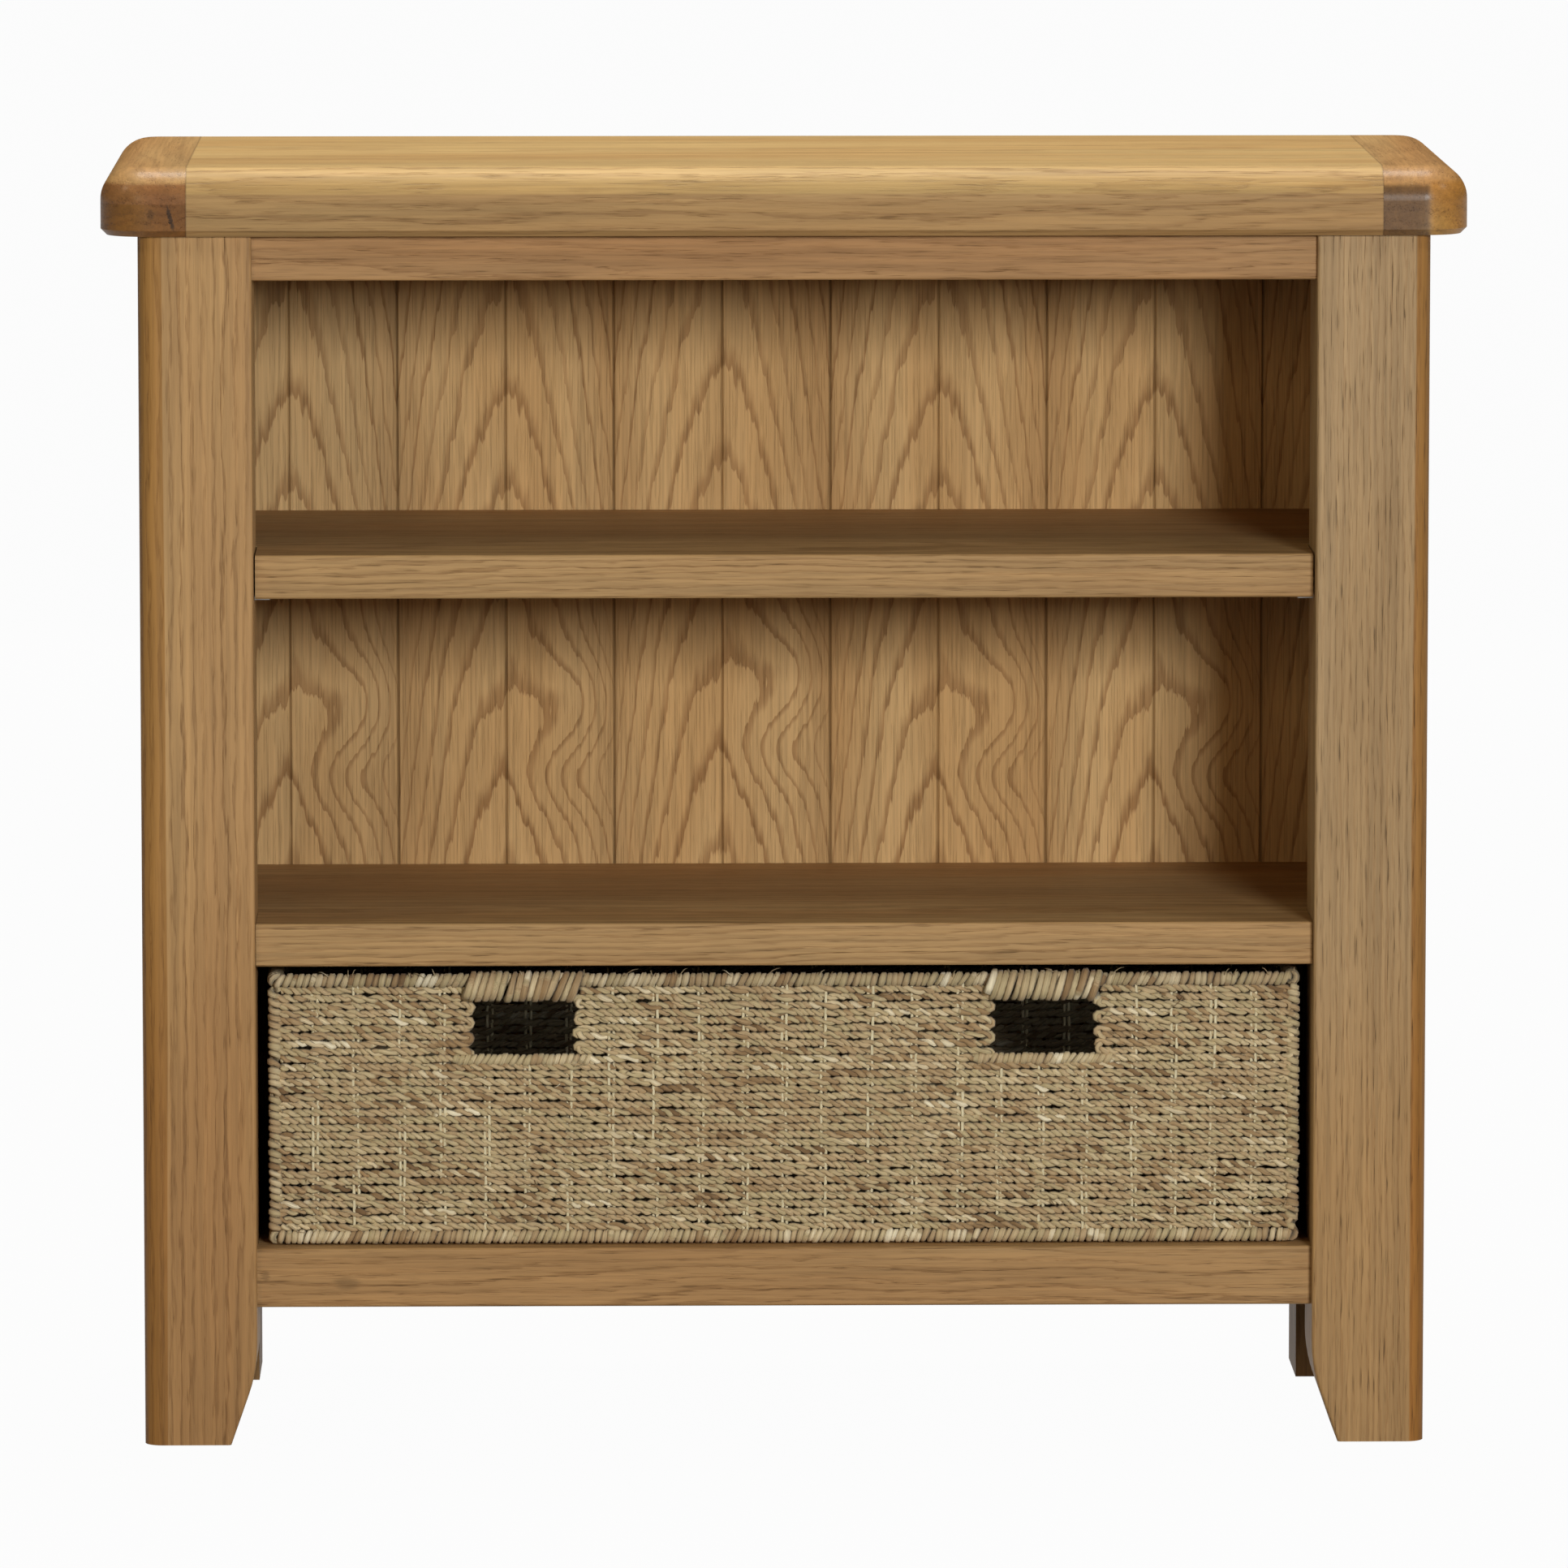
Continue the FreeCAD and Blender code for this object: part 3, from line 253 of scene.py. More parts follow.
def oak(name, grain, pith=(0.02, -0.12), tilt=0.0, wave=0.012, ring=0.0042, shift=0.0,
        light=LIGHT_OAK, dark=DARK_OAK, warm=WARM_OAK, contrast=0.6, pores=0.45, width=0.45,
        seams=(), painted_shade_layers=(), marks=(), coat=0.0):
    """Solid oak: growth rings, pores along them, and streaks and patches of tone."""
    g = Graph(name)
    places = g.split(g.add("ShaderNodeTexCoord", out=3))
    wood = [places[index] for index in PLACE_ORDER[grain]]
    bend = g.split(g.noise(g.scaled(*wood, BEND_SCALES, shift), 2.0, 1))
    band = growth_rings(g, wood, bend, pith, tilt, wave, ring, width, shift)
    pore_noise = g.noise(g.scaled(*wood, PORE_SCALES, shift + 7), 2.0)
    pore = g.smooth(pore_noise, 0.54, 0.68)
    pore = g.math("MULTIPLY", pore, g.math("MULTIPLY_ADD", band, 0.7, 0.3))
    streak = g.noise(g.scaled(*wood, STREAK_SCALES, shift + 9), 3.0)
    broad = g.noise(g.scaled(*wood, BROAD_SCALES, shift + 10), 2.0)
    patch = g.noise(g.scaled(*wood, PATCH_SCALES, shift + 11), 2.0)
    colour = g.mix(g.smooth(patch, 0.36, 0.66, 0.0, 0.8), light, warm)
    colour = g.mix(g.math("MULTIPLY", band, contrast), colour, dark)
    colour = g.shade(colour, g.smooth(broad, 0.3, 0.72, 1.05, 0.88))
    colour = g.shade(colour, g.smooth(streak, 0.3, 0.72, 1.06, 0.86))
    colour = g.shade(colour, g.math("MULTIPLY_ADD", pore, -pores, 1.0))
    # Painted shade: each tint darkens a face, a rounded edge or the lower end of a leg.
    for layer in painted_shade_layers:
        colour = paint_shade_layer(g, colour, places, bend[0], layer)
    for mark in marks:
        colour = dark_mark(g, colour, places, pore_noise, mark)
    for axis, place in seams:
        from_middle = g.math("ABSOLUTE", places["xyz".index(axis)])
        gap = g.math("ABSOLUTE", g.math("SUBTRACT", from_middle, place))
        colour = g.shade(colour, g.smooth(gap, 0.0002, 0.0009, SEAM_TONE, 1.0))
    height = g.math("MULTIPLY_ADD", pore, -1.0, g.math("MULTIPLY", band, -0.3))
    return g.finish(
        colour, OAK_ROUGHNESS, height, PORE_DEPTH, Specular_IOR_Level=OAK_SPECULAR,
        Coat_Weight=coat, Coat_Roughness=LACQUER_ROUGHNESS
    )


# Veneer. Each leaf is two grooves wide, and its arches point up along its middle line.
LIGHT_VENEER = srgb(208, 171, 118)
WARM_VENEER = srgb(196, 154, 100)
DARK_VENEER = srgb(146, 104, 60)
GROOVE_PITCH = 0.0743
LEAF = 2 * GROOVE_PITCH
LEAF_CENTRE = -GROOVE_PITCH / 2
MIDDLE_LEAF_LIFT = 0.019
ARCH_SLOPE = 1.2
ARCH_CURVE = 48.0
ARCH_SPACING = 0.068
# The grain swings aside in each leaf: height and half height of the swing, its share, its place.
SWIRL_Z = 0.438
SWIRL_UP = (SWIRL_Z + 0.024, 0.032)
SWIRL_BACK = (SWIRL_Z - 0.03, 0.028)
SWIRL_BACK_SHARE = 0.7
SWIRL_ASIDE = (0.040, 0.034)
SWIRL_SHIFT = 0.024
# Roughness of the arches: scales of the noise, its shift and detail, and its reach in metres.
ARCH_NOISES = (
    ((16, 0.02, 7), 4, 2.0, 0.026),
    ((130, 0.02, 26), 8, 3.0, 0.022),
    ((420, 0.02, 14), 6, 2.0, 0.011),
)
GROOVE_TONE = 0.66
JOINT_TONE = 0.58
VENEER_ROUGHNESS = 0.6
VENEER_SPECULAR = 0.15


def arch_bands(g, local, leaf, z):
    """How dark the nested arches of a leaf are at each place, from 0 to 1."""
    back = g.math("MULTIPLY", g.bump(z, *SWIRL_BACK), SWIRL_BACK_SHARE)
    swirl = g.math("SUBTRACT", g.bump(z, *SWIRL_UP), back)
    swirl = g.math("MULTIPLY", swirl, g.bump(local, *SWIRL_ASIDE))
    side = g.math("ABSOLUTE", g.math("MULTIPLY_ADD", swirl, -SWIRL_SHIFT, local))
    arch = g.math("MULTIPLY_ADD", side, ARCH_SLOPE, z)
    arch = g.math("ADD", arch, g.math("MULTIPLY", g.squared(side), ARCH_CURVE))
    for scales, shift, detail, reach in ARCH_NOISES:
        rough = g.noise(g.scaled(local, leaf, z, scales, shift), detail)
        arch = g.math("ADD", arch, g.swing(rough, reach))
    count = g.math("DIVIDE", arch, ARCH_SPACING)
    turn = g.math("FRACT", count)
    strength = g.random_of(g.math("FLOOR", count))
    band = g.math("SUBTRACT", 1.0, g.smooth(turn, 0.03, 0.36))
    band = g.math("MAXIMUM", band, g.smooth(turn, 0.95, 1.0))
    band = g.math("MULTIPLY", band, g.math("MULTIPLY_ADD", strength, 0.55, 0.45))
    plain_edge = g.smooth(g.math("ABSOLUTE", local), 0.25 * LEAF, 0.5 * LEAF)
    return g.math("MAXIMUM", band, g.math("MULTIPLY", plain_edge, 0.35))


def veneer(name, grooved):
    """Crown-cut oak veneer: nested arches that repeat from leaf to leaf."""
    g = Graph(name)
    x, y, z = g.split(g.add("ShaderNodeTexCoord", out=3))
    across = x if grooved else y
    from_first = g.math("SUBTRACT", across, LEAF_CENTRE)
    leaf = g.math("ROUND", g.math("DIVIDE", from_first, LEAF))
    local = g.math("SUBTRACT", from_first, g.math("MULTIPLY", leaf, LEAF))
    middle_leaf = g.math("COMPARE", leaf, 0.0, 0.1)
    z = g.math("SUBTRACT", z, g.math("MULTIPLY", middle_leaf, MIDDLE_LEAF_LIFT))
    band = arch_bands(g, local, leaf, z)
    pore = g.smooth(g.noise(g.scaled(across, y, z, (1000, 1000, 30), 7), 2.0), 0.53, 0.68)
    streak = g.noise(g.scaled(across, y, z, (700, 700, 9), 9), 3.0)
    broad = g.noise(g.scaled(across, y, z, (60, 60, 2.5), 10), 2.0)
    patch = g.noise(g.scaled(across, y, z, (20, 20, 4), 11), 2.0)
    colour = g.mix(g.smooth(patch, 0.36, 0.66, 0.0, 0.7), LIGHT_VENEER, WARM_VENEER)
    colour = g.mix(g.math("MULTIPLY", band, 0.8), colour, DARK_VENEER)
    if grooved:
        side = g.math("ABSOLUTE", local)
        colour = g.shade(colour, g.smooth(side, 0.0003, 0.0012, GROOVE_TONE, 1.0))
        joint = g.smooth(side, LEAF / 2 - 0.0014, LEAF / 2 - 0.0003, 1.0, JOINT_TONE)
        colour = g.shade(colour, joint)
    colour = g.shade(colour, g.smooth(broad, 0.3, 0.72, 1.03, 0.93))
    colour = g.shade(colour, g.smooth(streak, 0.28, 0.74, 1.08, 0.86))
    depth = g.math("MULTIPLY_ADD", band, -0.14, -0.1)
    colour = g.shade(colour, g.math("MULTIPLY_ADD", pore, depth, 1.0))
    height = g.math("MULTIPLY_ADD", pore, -1.0, g.math("MULTIPLY", band, -0.4))
    return g.finish(
        colour, VENEER_ROUGHNESS, height, PORE_DEPTH, Specular_IOR_Level=VENEER_SPECULAR
    )


# The boards. Kinds of oak first; the rear legs' kind is a darker copy, painted shade.
GOLD = dict(
    light=srgb(192, 158, 102), dark=srgb(140, 100, 56), warm=srgb(184, 144, 88), contrast=0.42,
    pores=0.3, wave=0.03
)
PLAIN = dict(
    light=srgb(178, 138, 92), dark=srgb(126, 86, 48), warm=srgb(168, 124, 78), contrast=0.5, wave=0.02
)
# Rear legs: the oak painted darker, as painted shade for their place in shadow under the carcase.
REAR_LEG_PAINTED_SHADE = dict(
    light=srgb(146, 112, 70), dark=srgb(98, 68, 36), warm=srgb(132, 96, 56), wave=0.01
)
AMBER = dict(
    light=srgb(184, 145, 92), dark=srgb(128, 88, 50), warm=srgb(168, 120, 68), contrast=0.35,
    wave=0.05, ring=0.007, pores=0.3, coat=0.2
)
LEFT_LEG = dict(
    light=srgb(190, 152, 102), warm=srgb(184, 142, 94), contrast=0.6, pores=0.25, wave=0.010,
    ring=0.0068, width=0.32
)
RIGHT_LEG = dict(
    light=srgb(176, 146, 106), warm=srgb(170, 138, 96), contrast=0.4, pores=0.7, wave=0.005
)

# Seams of the top: an axis and how far from the middle.
END_SEAM = ("x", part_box("top_end_right")[0].x)
BOARD_SEAM = ("y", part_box("top_board_front")[1].y)

# Painted shade layers: the span in x, the height below which the tint lies, the tint and the width of its
# edge.
ALL_HEIGHTS = 1.0
ARRIS = 0.838
# The top's front face: painted shade, darker and pinker than the lit upper surface.
FRONT_FACE_PAINTED_SHADE = (((-0.5, 0.5), 0.832, srgb(236, 231, 236), 2 * SEAM),)
# Left leg: painted shade on the outer side and rounded edge, and painted shade that darkens the leg towards
# the foot.
LEFT_LEG_PAINTED_SHADE = (
    ((-0.5, -0.4095), ALL_HEIGHTS, srgb(225, 209, 176), SEAM),
    ((-1, 0.5), 0.22, srgb(237, 229, 220), 0.25),
)
# Right leg: painted shade, darker and warmer, on the outer side and rounded edge, and painted shade that
# darkens the leg towards the foot.
RIGHT_LEG_PAINTED_SHADE = (
    ((0.4145, 0.5), ALL_HEIGHTS, srgb(236, 208, 160), 2 * SEAM),
    ((-1, 0.5), 0.14, srgb(253, 241, 221), 0.25),
)
# Left end of the top: painted shade that darkens the front and side below the round-over, and a little more
# lower down.
LEFT_END_PAINTED_SHADE = (
    ((-0.5, 0), ARRIS, srgb(206, 184, 172), 4 * SEAM),
    ((-0.5, 0), 0.826, srgb(226, 221, 182), SEAM),
)
# Right end of the top: painted shade that darkens the front below the round-over, and a slight warm painted
# shade on the outer side below the arris.
RIGHT_END_PAINTED_SHADE = (
    ((0, 0.421), 0.836, srgb(169, 165, 161), 5 * SEAM),
    ((0.422, 0.5), ARRIS, srgb(255, 242, 198), 6 * SEAM),
)
# Marks: place in x and z, half width, half height, lean and how dark.
RAIL_KNOTS = ((-0.291, 0.107, 0.009, 0.005, 0.2, 0.3), (-0.345, 0.112, 0.003, 0.004, 0.0, 0.3))
END_CHECKS = ((-0.4033, 0.8175, 0.0016, 0.009, 0.25, 0.75), (-0.4160, 0.8195, 0.003, 0.004, 0.0, 0.4))


def dress_wood():
    """Every board gets oak of its own cut, with the grain along its length."""
    both = (END_SEAM, BOARD_SEAM)
    front_top = dict(GOLD, ring=0.006, seams=both, painted_shade_layers=FRONT_FACE_PAINTED_SHADE)
    back_top = dict(GOLD, ring=0.006, seams=both)
    left_leg = dict(LEFT_LEG, painted_shade_layers=LEFT_LEG_PAINTED_SHADE)
    right_leg = dict(RIGHT_LEG, painted_shade_layers=RIGHT_LEG_PAINTED_SHADE)
    left_end = dict(AMBER, seams=(END_SEAM,), painted_shade_layers=LEFT_END_PAINTED_SHADE, marks=END_CHECKS)
    right_end = dict(AMBER, seams=(END_SEAM,), painted_shade_layers=RIGHT_END_PAINTED_SHADE)
    shelf = dict(wave=0.02)
    rail = dict(wave=0.014)
    # Node, material, direction of the grain, place of the pith, shift of the noise, look.
    boards = [
        ("top_board_front", "oak_top_front", "x", (0.05, 0.70), 2, front_top),
        ("top_board_back", "oak_top_back", "x", (0.30, 0.60), 14, back_top),
        ("upper_shelf", "oak_upper_shelf", "x", (-0.10, 0.49), 21, shelf),
        ("middle_shelf", "oak_middle_shelf", "x", (-0.10, 0.24), 33, shelf),
        ("bottom_board", "oak_bottom_board", "x", (0.0, 0.0), 37, shelf),
        ("top_front_rail", "oak_top_front_rail", "x", (-0.08, 0.75), 41, PLAIN),
        ("top_rear_rail", "oak_top_rear_rail", "x", (0.2, 0.75), 43, rail),
        ("bottom_front_rail", "oak_bottom_front_rail", "x", (-0.09, 0.07), 47, dict(shelf, marks=RAIL_KNOTS)),
        ("bottom_rear_rail", "oak_bottom_rear_rail", "x", (0.2, 0.07), 49, rail),
        ("front_leg_left", "oak_leg_left", "z", (-0.75, -0.06), 51, left_leg),
        ("front_leg_right", "oak_leg_right", "z", (0.95, -0.30), 53, right_leg),
        ("rear_leg_left", "oak_rear_leg_left", "z", (-0.5, 0.2), 55, REAR_LEG_PAINTED_SHADE),
        ("rear_leg_right", "oak_rear_leg_right", "z", (0.5, 0.2), 57, REAR_LEG_PAINTED_SHADE),
        ("bottom_cleats", "oak_cleats", "y", (0.0, 0.2), 61, {}),
        ("top_fixing_blocks", "oak_blocks", "x", (0.0, 0.2), 63, {}),
        ("top_end_left", "oak_top_end_left", "y", (-0.40, 0.70), 71, left_end),
        ("top_end_right", "oak_top_end_right", "y", (0.40, 0.70), 74, right_end),
    ]
    side_rails = (
        ("upper_side_rail_left", 81), ("lower_side_rail_left", 83),
        ("upper_side_rail_right", 85), ("lower_side_rail_right", 87),
    )
    for node, shift in side_rails:
        boards.append((node, "oak_" + node, "y", (0.1, 0.3), shift, rail))
    for node, name, grain, pith, shift, look in boards:
        dress(node, oak(name, grain, pith, shift=shift, **look))
    side_veneer = veneer("oak_side_veneer", False)
    dress("side_panel_left", side_veneer)
    dress("side_panel_right", side_veneer)
    dress("back_panel", veneer("oak_back_veneer", True))


def metal():
    """Dull zinc-plated steel."""
    g = Graph("zinc_steel")
    places = g.split(g.add("ShaderNodeTexCoord", out=3))
    cloud = g.noise(g.scaled(*places, (300, 300, 300), 0), 3.0)
    colour = g.ramp(cloud, [(0.3, srgb(150, 148, 142)), (0.7, srgb(186, 184, 178))])
    return g.finish(colour, 0.38, cloud, 0.0001, Metallic=1.0)


# Seagrass. Each strand carries a vector: metres along it, turns round it, and its own tone.
GRASS_STOPS = [
    (0.0, srgb(118, 90, 56)),
    (0.22, srgb(160, 130, 90)),
    (0.45, srgb(194, 170, 130)),
    (0.62, srgb(184, 166, 124)),
    (0.8, srgb(212, 192, 152)),
    (1.0, srgb(236, 224, 192)),
]
STAKE_STOPS = [(0.3, srgb(206, 192, 152)), (0.7, srgb(238, 228, 194))]


def strand_places(g):
    """What a strand carries: metres along it, the angle round it, and its tone."""
    return g.split(g.add("ShaderNodeAttribute", attribute_name="strand", out=1))


def seagrass(name, bright=1.0):
    """Twisted dry grass: fine fibres along each strand, painted shade on the flanks where strands meet, and
    outward faces painted a little lighter.
    """
    g = Graph(name)
    along, around, tone = strand_places(g)
    fibre = g.noise(g.scaled(around, tone, along, (5, 31, 60), 0), 3.0)
    blotch = g.noise(g.scaled(around, tone, along, (0.6, 17, 25), 5), 2.0)
    colour = g.ramp(g.math("ADD", tone, g.swing(blotch, 0.22)), GRASS_STOPS)
    colour = g.shade(colour, g.smooth(fibre, 0.25, 0.75, 0.72 * bright, 1.1 * bright))
    # Painted shade on the flanks of each strand, where strands meet, and a little painted light on its
    # outward face.
    colour = g.shade(colour, g.smooth(g.math("SINE", around), -0.2, 0.9, 0.5, 1.12))
    return g.finish(colour, 0.75, fibre, 0.0005, Sheen_Weight=0.1)


def pale_stake():
    """Smooth pale cane."""
    g = Graph("pale_stake")
    along, around, tone = strand_places(g)
    fibre = g.noise(g.scaled(around, tone, along, (2, 20, 120), 0), 2.0)
    return g.finish(g.ramp(fibre, STAKE_STOPS), 0.7, fibre, 0.0003)


def unit(vectors):
    """The same directions, each one long."""
    return vectors / np.linalg.norm(vectors, axis=1)[:, None]


def run_length(points):
    """How far along a line each of its points lies."""
    return np.concatenate([[0], np.cumsum(np.linalg.norm(np.diff(points, axis=0), axis=1))])


def strands(name, paths, sides, tones, material):
    """One mesh of swept round strands. A path is points, outward normals and radii, ring by ring."""
    angle = np.arange(sides) * 2 * math.pi / sides
    points_all, carried_all, faces = [], [], []
    start = 0
    for points, normals, radii in paths:
        count = len(points)
        tangent = unit(np.gradient(points, axis=0))
        across = unit(np.cross(tangent, normals))
        out = np.cross(across, tangent)
        offset = (
            np.cos(angle)[None, :, None] * across[:, None, :]
            + np.sin(angle)[None, :, None] * out[:, None, :]
        )
        ring = points[:, None, :] + offset * radii[:, None, None]
        length = run_length(points)
        carried = np.stack(
            [
                np.repeat(length[:, None], sides, 1),
                np.repeat(angle[None, :], count, 0),
                np.repeat(tones(length)[:, None], sides, 1),
            ],
            axis=2,
        )
        points_all.append(ring.reshape(-1, 3))
        carried_all.append(carried.reshape(-1, 3))
        index = start + np.arange(count * sides).reshape(count, sides)
        after = np.roll(index, -1, axis=1)
        quads = np.stack([index[:-1], index[1:], after[1:], after[:-1]], axis=2)
        faces += quads.reshape(-1, 4).tolist()
        for cap in (index[0].tolist(), index[-1][::-1].tolist()):
            for number in range(1, sides - 1, 2):
                faces.append([cap[0]] + cap[number:number + 3])
        start += count * sides
    mesh = bpy.data.meshes.new(name)
    mesh.from_pydata(np.concatenate(points_all).tolist(), [], faces)
    layer = mesh.attributes.new("strand", "FLOAT_VECTOR", "POINT")
    layer.data.foreach_set("vector", np.concatenate(carried_all).astype(np.float32).ravel())
    mesh.polygons.foreach_set("use_smooth", np.ones(len(mesh.polygons), bool))
    mesh.materials.append(material)
    mesh.update()
    made = bpy.data.objects.new(name, mesh)
    bpy.context.scene.collection.objects.link(made)
    return made


LONGEST_BLADE = 0.05
USUAL_BLADE = 0.02


def blade_tones(shortest, spare, middle, spread):
    """Gives each blade of grass along a strand a tone of its own."""
    def tones(length):
        ends = np.cumsum(draw.uniform(shortest, LONGEST_BLADE, int(length[-1] / USUAL_BLADE) + spare))
        values = np.clip(draw.normal(middle, spread, len(ends) + 1), 0, 1)
        return values[np.searchsorted(ends, length)]
    return tones


CORD_TONES = blade_tones(0.006, 6, 0.5, 0.18)
WRAP_TONES = blade_tones(0.01, 4, 0.56, 0.2)


def wobble(length, reach, wave):
    """A slow, smooth, seeded wander along a length."""
    total = np.zeros_like(length)
    for _ in range(3):
        total += np.sin(length / (wave * draw.uniform(0.6, 1.6)) * 2 * math.pi + draw.uniform(0, 7))
    return total * reach / 3


def join_basket(piece, node=None):
    """A strand piece moves with the basket and, where a node is named, is shown in its stead."""
    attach(piece, "basket")
    if node:
        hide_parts(node)


# The basket's lines, from the solids that the strands stand for.
RIM = 5 * MM
RIM_GAP = 1.6 * MM
GRIP_LENGTH = 74 * MM
HOLE_HALF = 35 * MM
ROLL_LENGTH = 92 * MM
base_low, base_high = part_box("basket_bottom_rim")
top_low, top_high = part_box("basket_top_rim")
grip_low, grip_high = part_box("basket_grips")
roll_low, roll_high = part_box("basket_hole_rolls")
HALF_X = top_high.x - RIM
FRONT_Y = top_low.y + RIM
BACK_Y = top_high.y - RIM
MID_Y = (FRONT_Y + BACK_Y) / 2
LOW_Z = base_low.z + RIM
HIGH_Z = top_high.z - RIM
WEAVE_LOW = base_high.z + RIM_GAP
WEAVE_HIGH = top_low.z - RIM_GAP
GRIP_X = grip_high.x - GRIP_LENGTH / 2
GRIP_HALF = (grip_high.z - grip_low.z) / 2
GRIP_Z = (grip_low.z + grip_high.z) / 2
ROLL_Z = (roll_low.z + roll_high.z) / 2
ROLL_HALF = (roll_high.z - roll_low.z) / 2

# The weave: cords of two plies that pass in front of one pair of stakes and behind the next.
PLY_OFFSET = 1.35 * MM
PLY_RADIUS = 1.72 * MM
CORD_PITCH = 12.5 * MM
ROW_PITCH = 5.05 * MM
WEAVE_REACH = 1.3 * MM
STAKE_PITCH = 28.7 * MM
CORD_INSET = 1.5 * MM
FINE_STEP = 1.8 * MM
PLAIN_STEP = 2.5 * MM
TURN_POINTS = 6
BASE_ROWS = 49
ROWS = np.arange(WEAVE_LOW, WEAVE_HIGH + ROW_PITCH / 2, ROW_PITCH)
ROWS = np.linspace(WEAVE_LOW, WEAVE_HIGH, len(ROWS))
LONG_EDGE = HALF_X - CORD_INSET
SHORT_EDGE = (BACK_Y - FRONT_Y) / 2 - CORD_INSET


def snake(levels, start, end, step):
    """One line that runs to and fro over the levels: places along, places up, and the row."""
    along, up, row_of = [], [], []
    turn_radius = (levels[1] - levels[0]) / 2
    for number, level in enumerate(levels):
        first, last = (start, end) if number % 2 == 0 else (end, start)
        side = 1 if last > first else -1
        inset = turn_radius * side
        count = max(int(abs(last - first) / step), 2)
        along.append(np.linspace(first + inset, last - inset, count))
        up.append(np.full(count, level))
        row_of.append(np.full(count, number))
        if number + 1 < len(levels):
            angle = np.linspace(-math.pi / 2, math.pi / 2, TURN_POINTS)[1:-1]
            along.append(last - inset + side * turn_radius * np.cos(angle))
            up.append(level + turn_radius + turn_radius * np.sin(angle))
            row_of.append(np.full(len(angle), number + 0.5))
    return np.concatenate(along), np.concatenate(up), np.concatenate(row_of)


def weave_paths(zones, step, place, outward):
    """The two plies of every cord of a wall. A zone is levels, start, end and which row is in front."""
    paths = []
    for levels, start, end, phase in zones:
        along, up, row = snake(levels, start, end, step)
        parity = np.where(np.floor(row + 0.25 + phase) % 2 == 0, 1.0, -1.0)
        length = np.concatenate([[0], np.cumsum(np.hypot(np.diff(along), np.diff(up)))])
        run = np.gradient(along)
        rise = np.gradient(up)
        speed = np.hypot(run, rise)
        out = parity * WEAVE_REACH * np.cos(math.pi * along / STAKE_PITCH)
        up = up + wobble(length, 0.8 * MM, 0.04)
        out = out + wobble(length, 0.5 * MM, 0.04)
        twist = 2 * math.pi * length / CORD_PITCH + draw.uniform(0, 6)
        twist += wobble(length, 2.0, 0.045)
        for start_turn in (0.0, math.pi):
            turn = twist + start_turn + wobble(length, 0.35, 0.02)
            spread = PLY_OFFSET * (1 + wobble(length, 0.3, 0.03))
            points = place(
                along - spread * np.cos(turn) * rise / speed,
                up + spread * np.cos(turn) * run / speed,
                out + spread * np.sin(turn),
            )
            normals = np.repeat(np.array([outward], float), len(points), 0)
            paths.append((points, normals, PLY_RADIUS * (1 + wobble(length, 0.36, 0.011))))
    return paths


def front_zones():
    """The rows of the front wall: whole below the finger holes, in three stretches beside them."""
    whole = ROWS < ROLL_Z - ROLL_HALF * 0.6
    hole_in = GRIP_X - HOLE_HALF
    hole_out = GRIP_X + HOLE_HALF
    phase = whole.sum() % 2
    zones = [(ROWS[whole], -LONG_EDGE, LONG_EDGE, 0)]
    for start, end in ((-LONG_EDGE, -hole_out), (-hole_in, hole_in), (hole_out, LONG_EDGE)):
        zones.append((ROWS[~whole], start, end, phase))
    return zones


def on_front(along, up, out):
    return np.stack([along, FRONT_Y - out, up], axis=1)


def on_back(along, up, out):
    return np.stack([along, BACK_Y + out, up], axis=1)


def on_left(along, up, out):
    return np.stack([-(HALF_X + out), MID_Y + along, up], axis=1)


def on_right(along, up, out):
    return np.stack([HALF_X + out, MID_Y + along, up], axis=1)


def on_base(along, up, out):
    return np.stack([along, up, LOW_Z + out], axis=1)


def build_walls():
    """The four woven walls and the woven base."""
    grass = seagrass("seagrass_weave", 1.08)
    inset = RIM + 2 * MM
    base_rows = np.linspace(FRONT_Y + inset, BACK_Y - inset, BASE_ROWS)
    long_zone = [(ROWS, -LONG_EDGE, LONG_EDGE, 0)]
    short_zone = [(ROWS, -SHORT_EDGE, SHORT_EDGE, 0)]
    base_zone = [(base_rows, -LONG_EDGE, LONG_EDGE, 0)]
    walls = (
        ("front", front_zones(), FINE_STEP, on_front, (0, -1, 0), 6),
        ("back", long_zone, PLAIN_STEP, on_back, (0, 1, 0), 6),
        ("left", short_zone, PLAIN_STEP, on_left, (-1, 0, 0), 6),
        ("right", short_zone, PLAIN_STEP, on_right, (1, 0, 0), 6),
        ("base", base_zone, PLAIN_STEP, on_base, (0, 0, -1), 5),
    )
    for name, zones, step, place, outward, sides in walls:
        paths = weave_paths(zones, step, place, outward)
        piece = strands("woven_" + name, paths, sides, CORD_TONES, grass)
        join_basket(piece, "basket_" + name)


# Wrapped rolls: a thread wound round a core.
WRAP_THREAD = 2.35 * MM
WRAP_PITCH = 4.2 * MM
WRAP_SIDES = 6
POINTS_PER_TURN = 11
RIM_CORE = RIM - WRAP_THREAD
RIM_LEAN = 0.5 * MM
CORNER_LEAN = 0.4 * MM
CORNER_CORE = RIM_CORE * 0.9
CORNER_PITCH = WRAP_PITCH * 1.2
GRIP_THREAD = 2.5 * MM
GRIP_PITCH = 4.7 * MM
GRIP_LEAN = 1.8 * MM
ROLL_PITCH = 4.0 * MM
ROLL_LEAN = 0.6 * MM
LINE_STEP = 4 * MM
CORNER_BEND = 4 * MM
CORNER_POINTS = 5


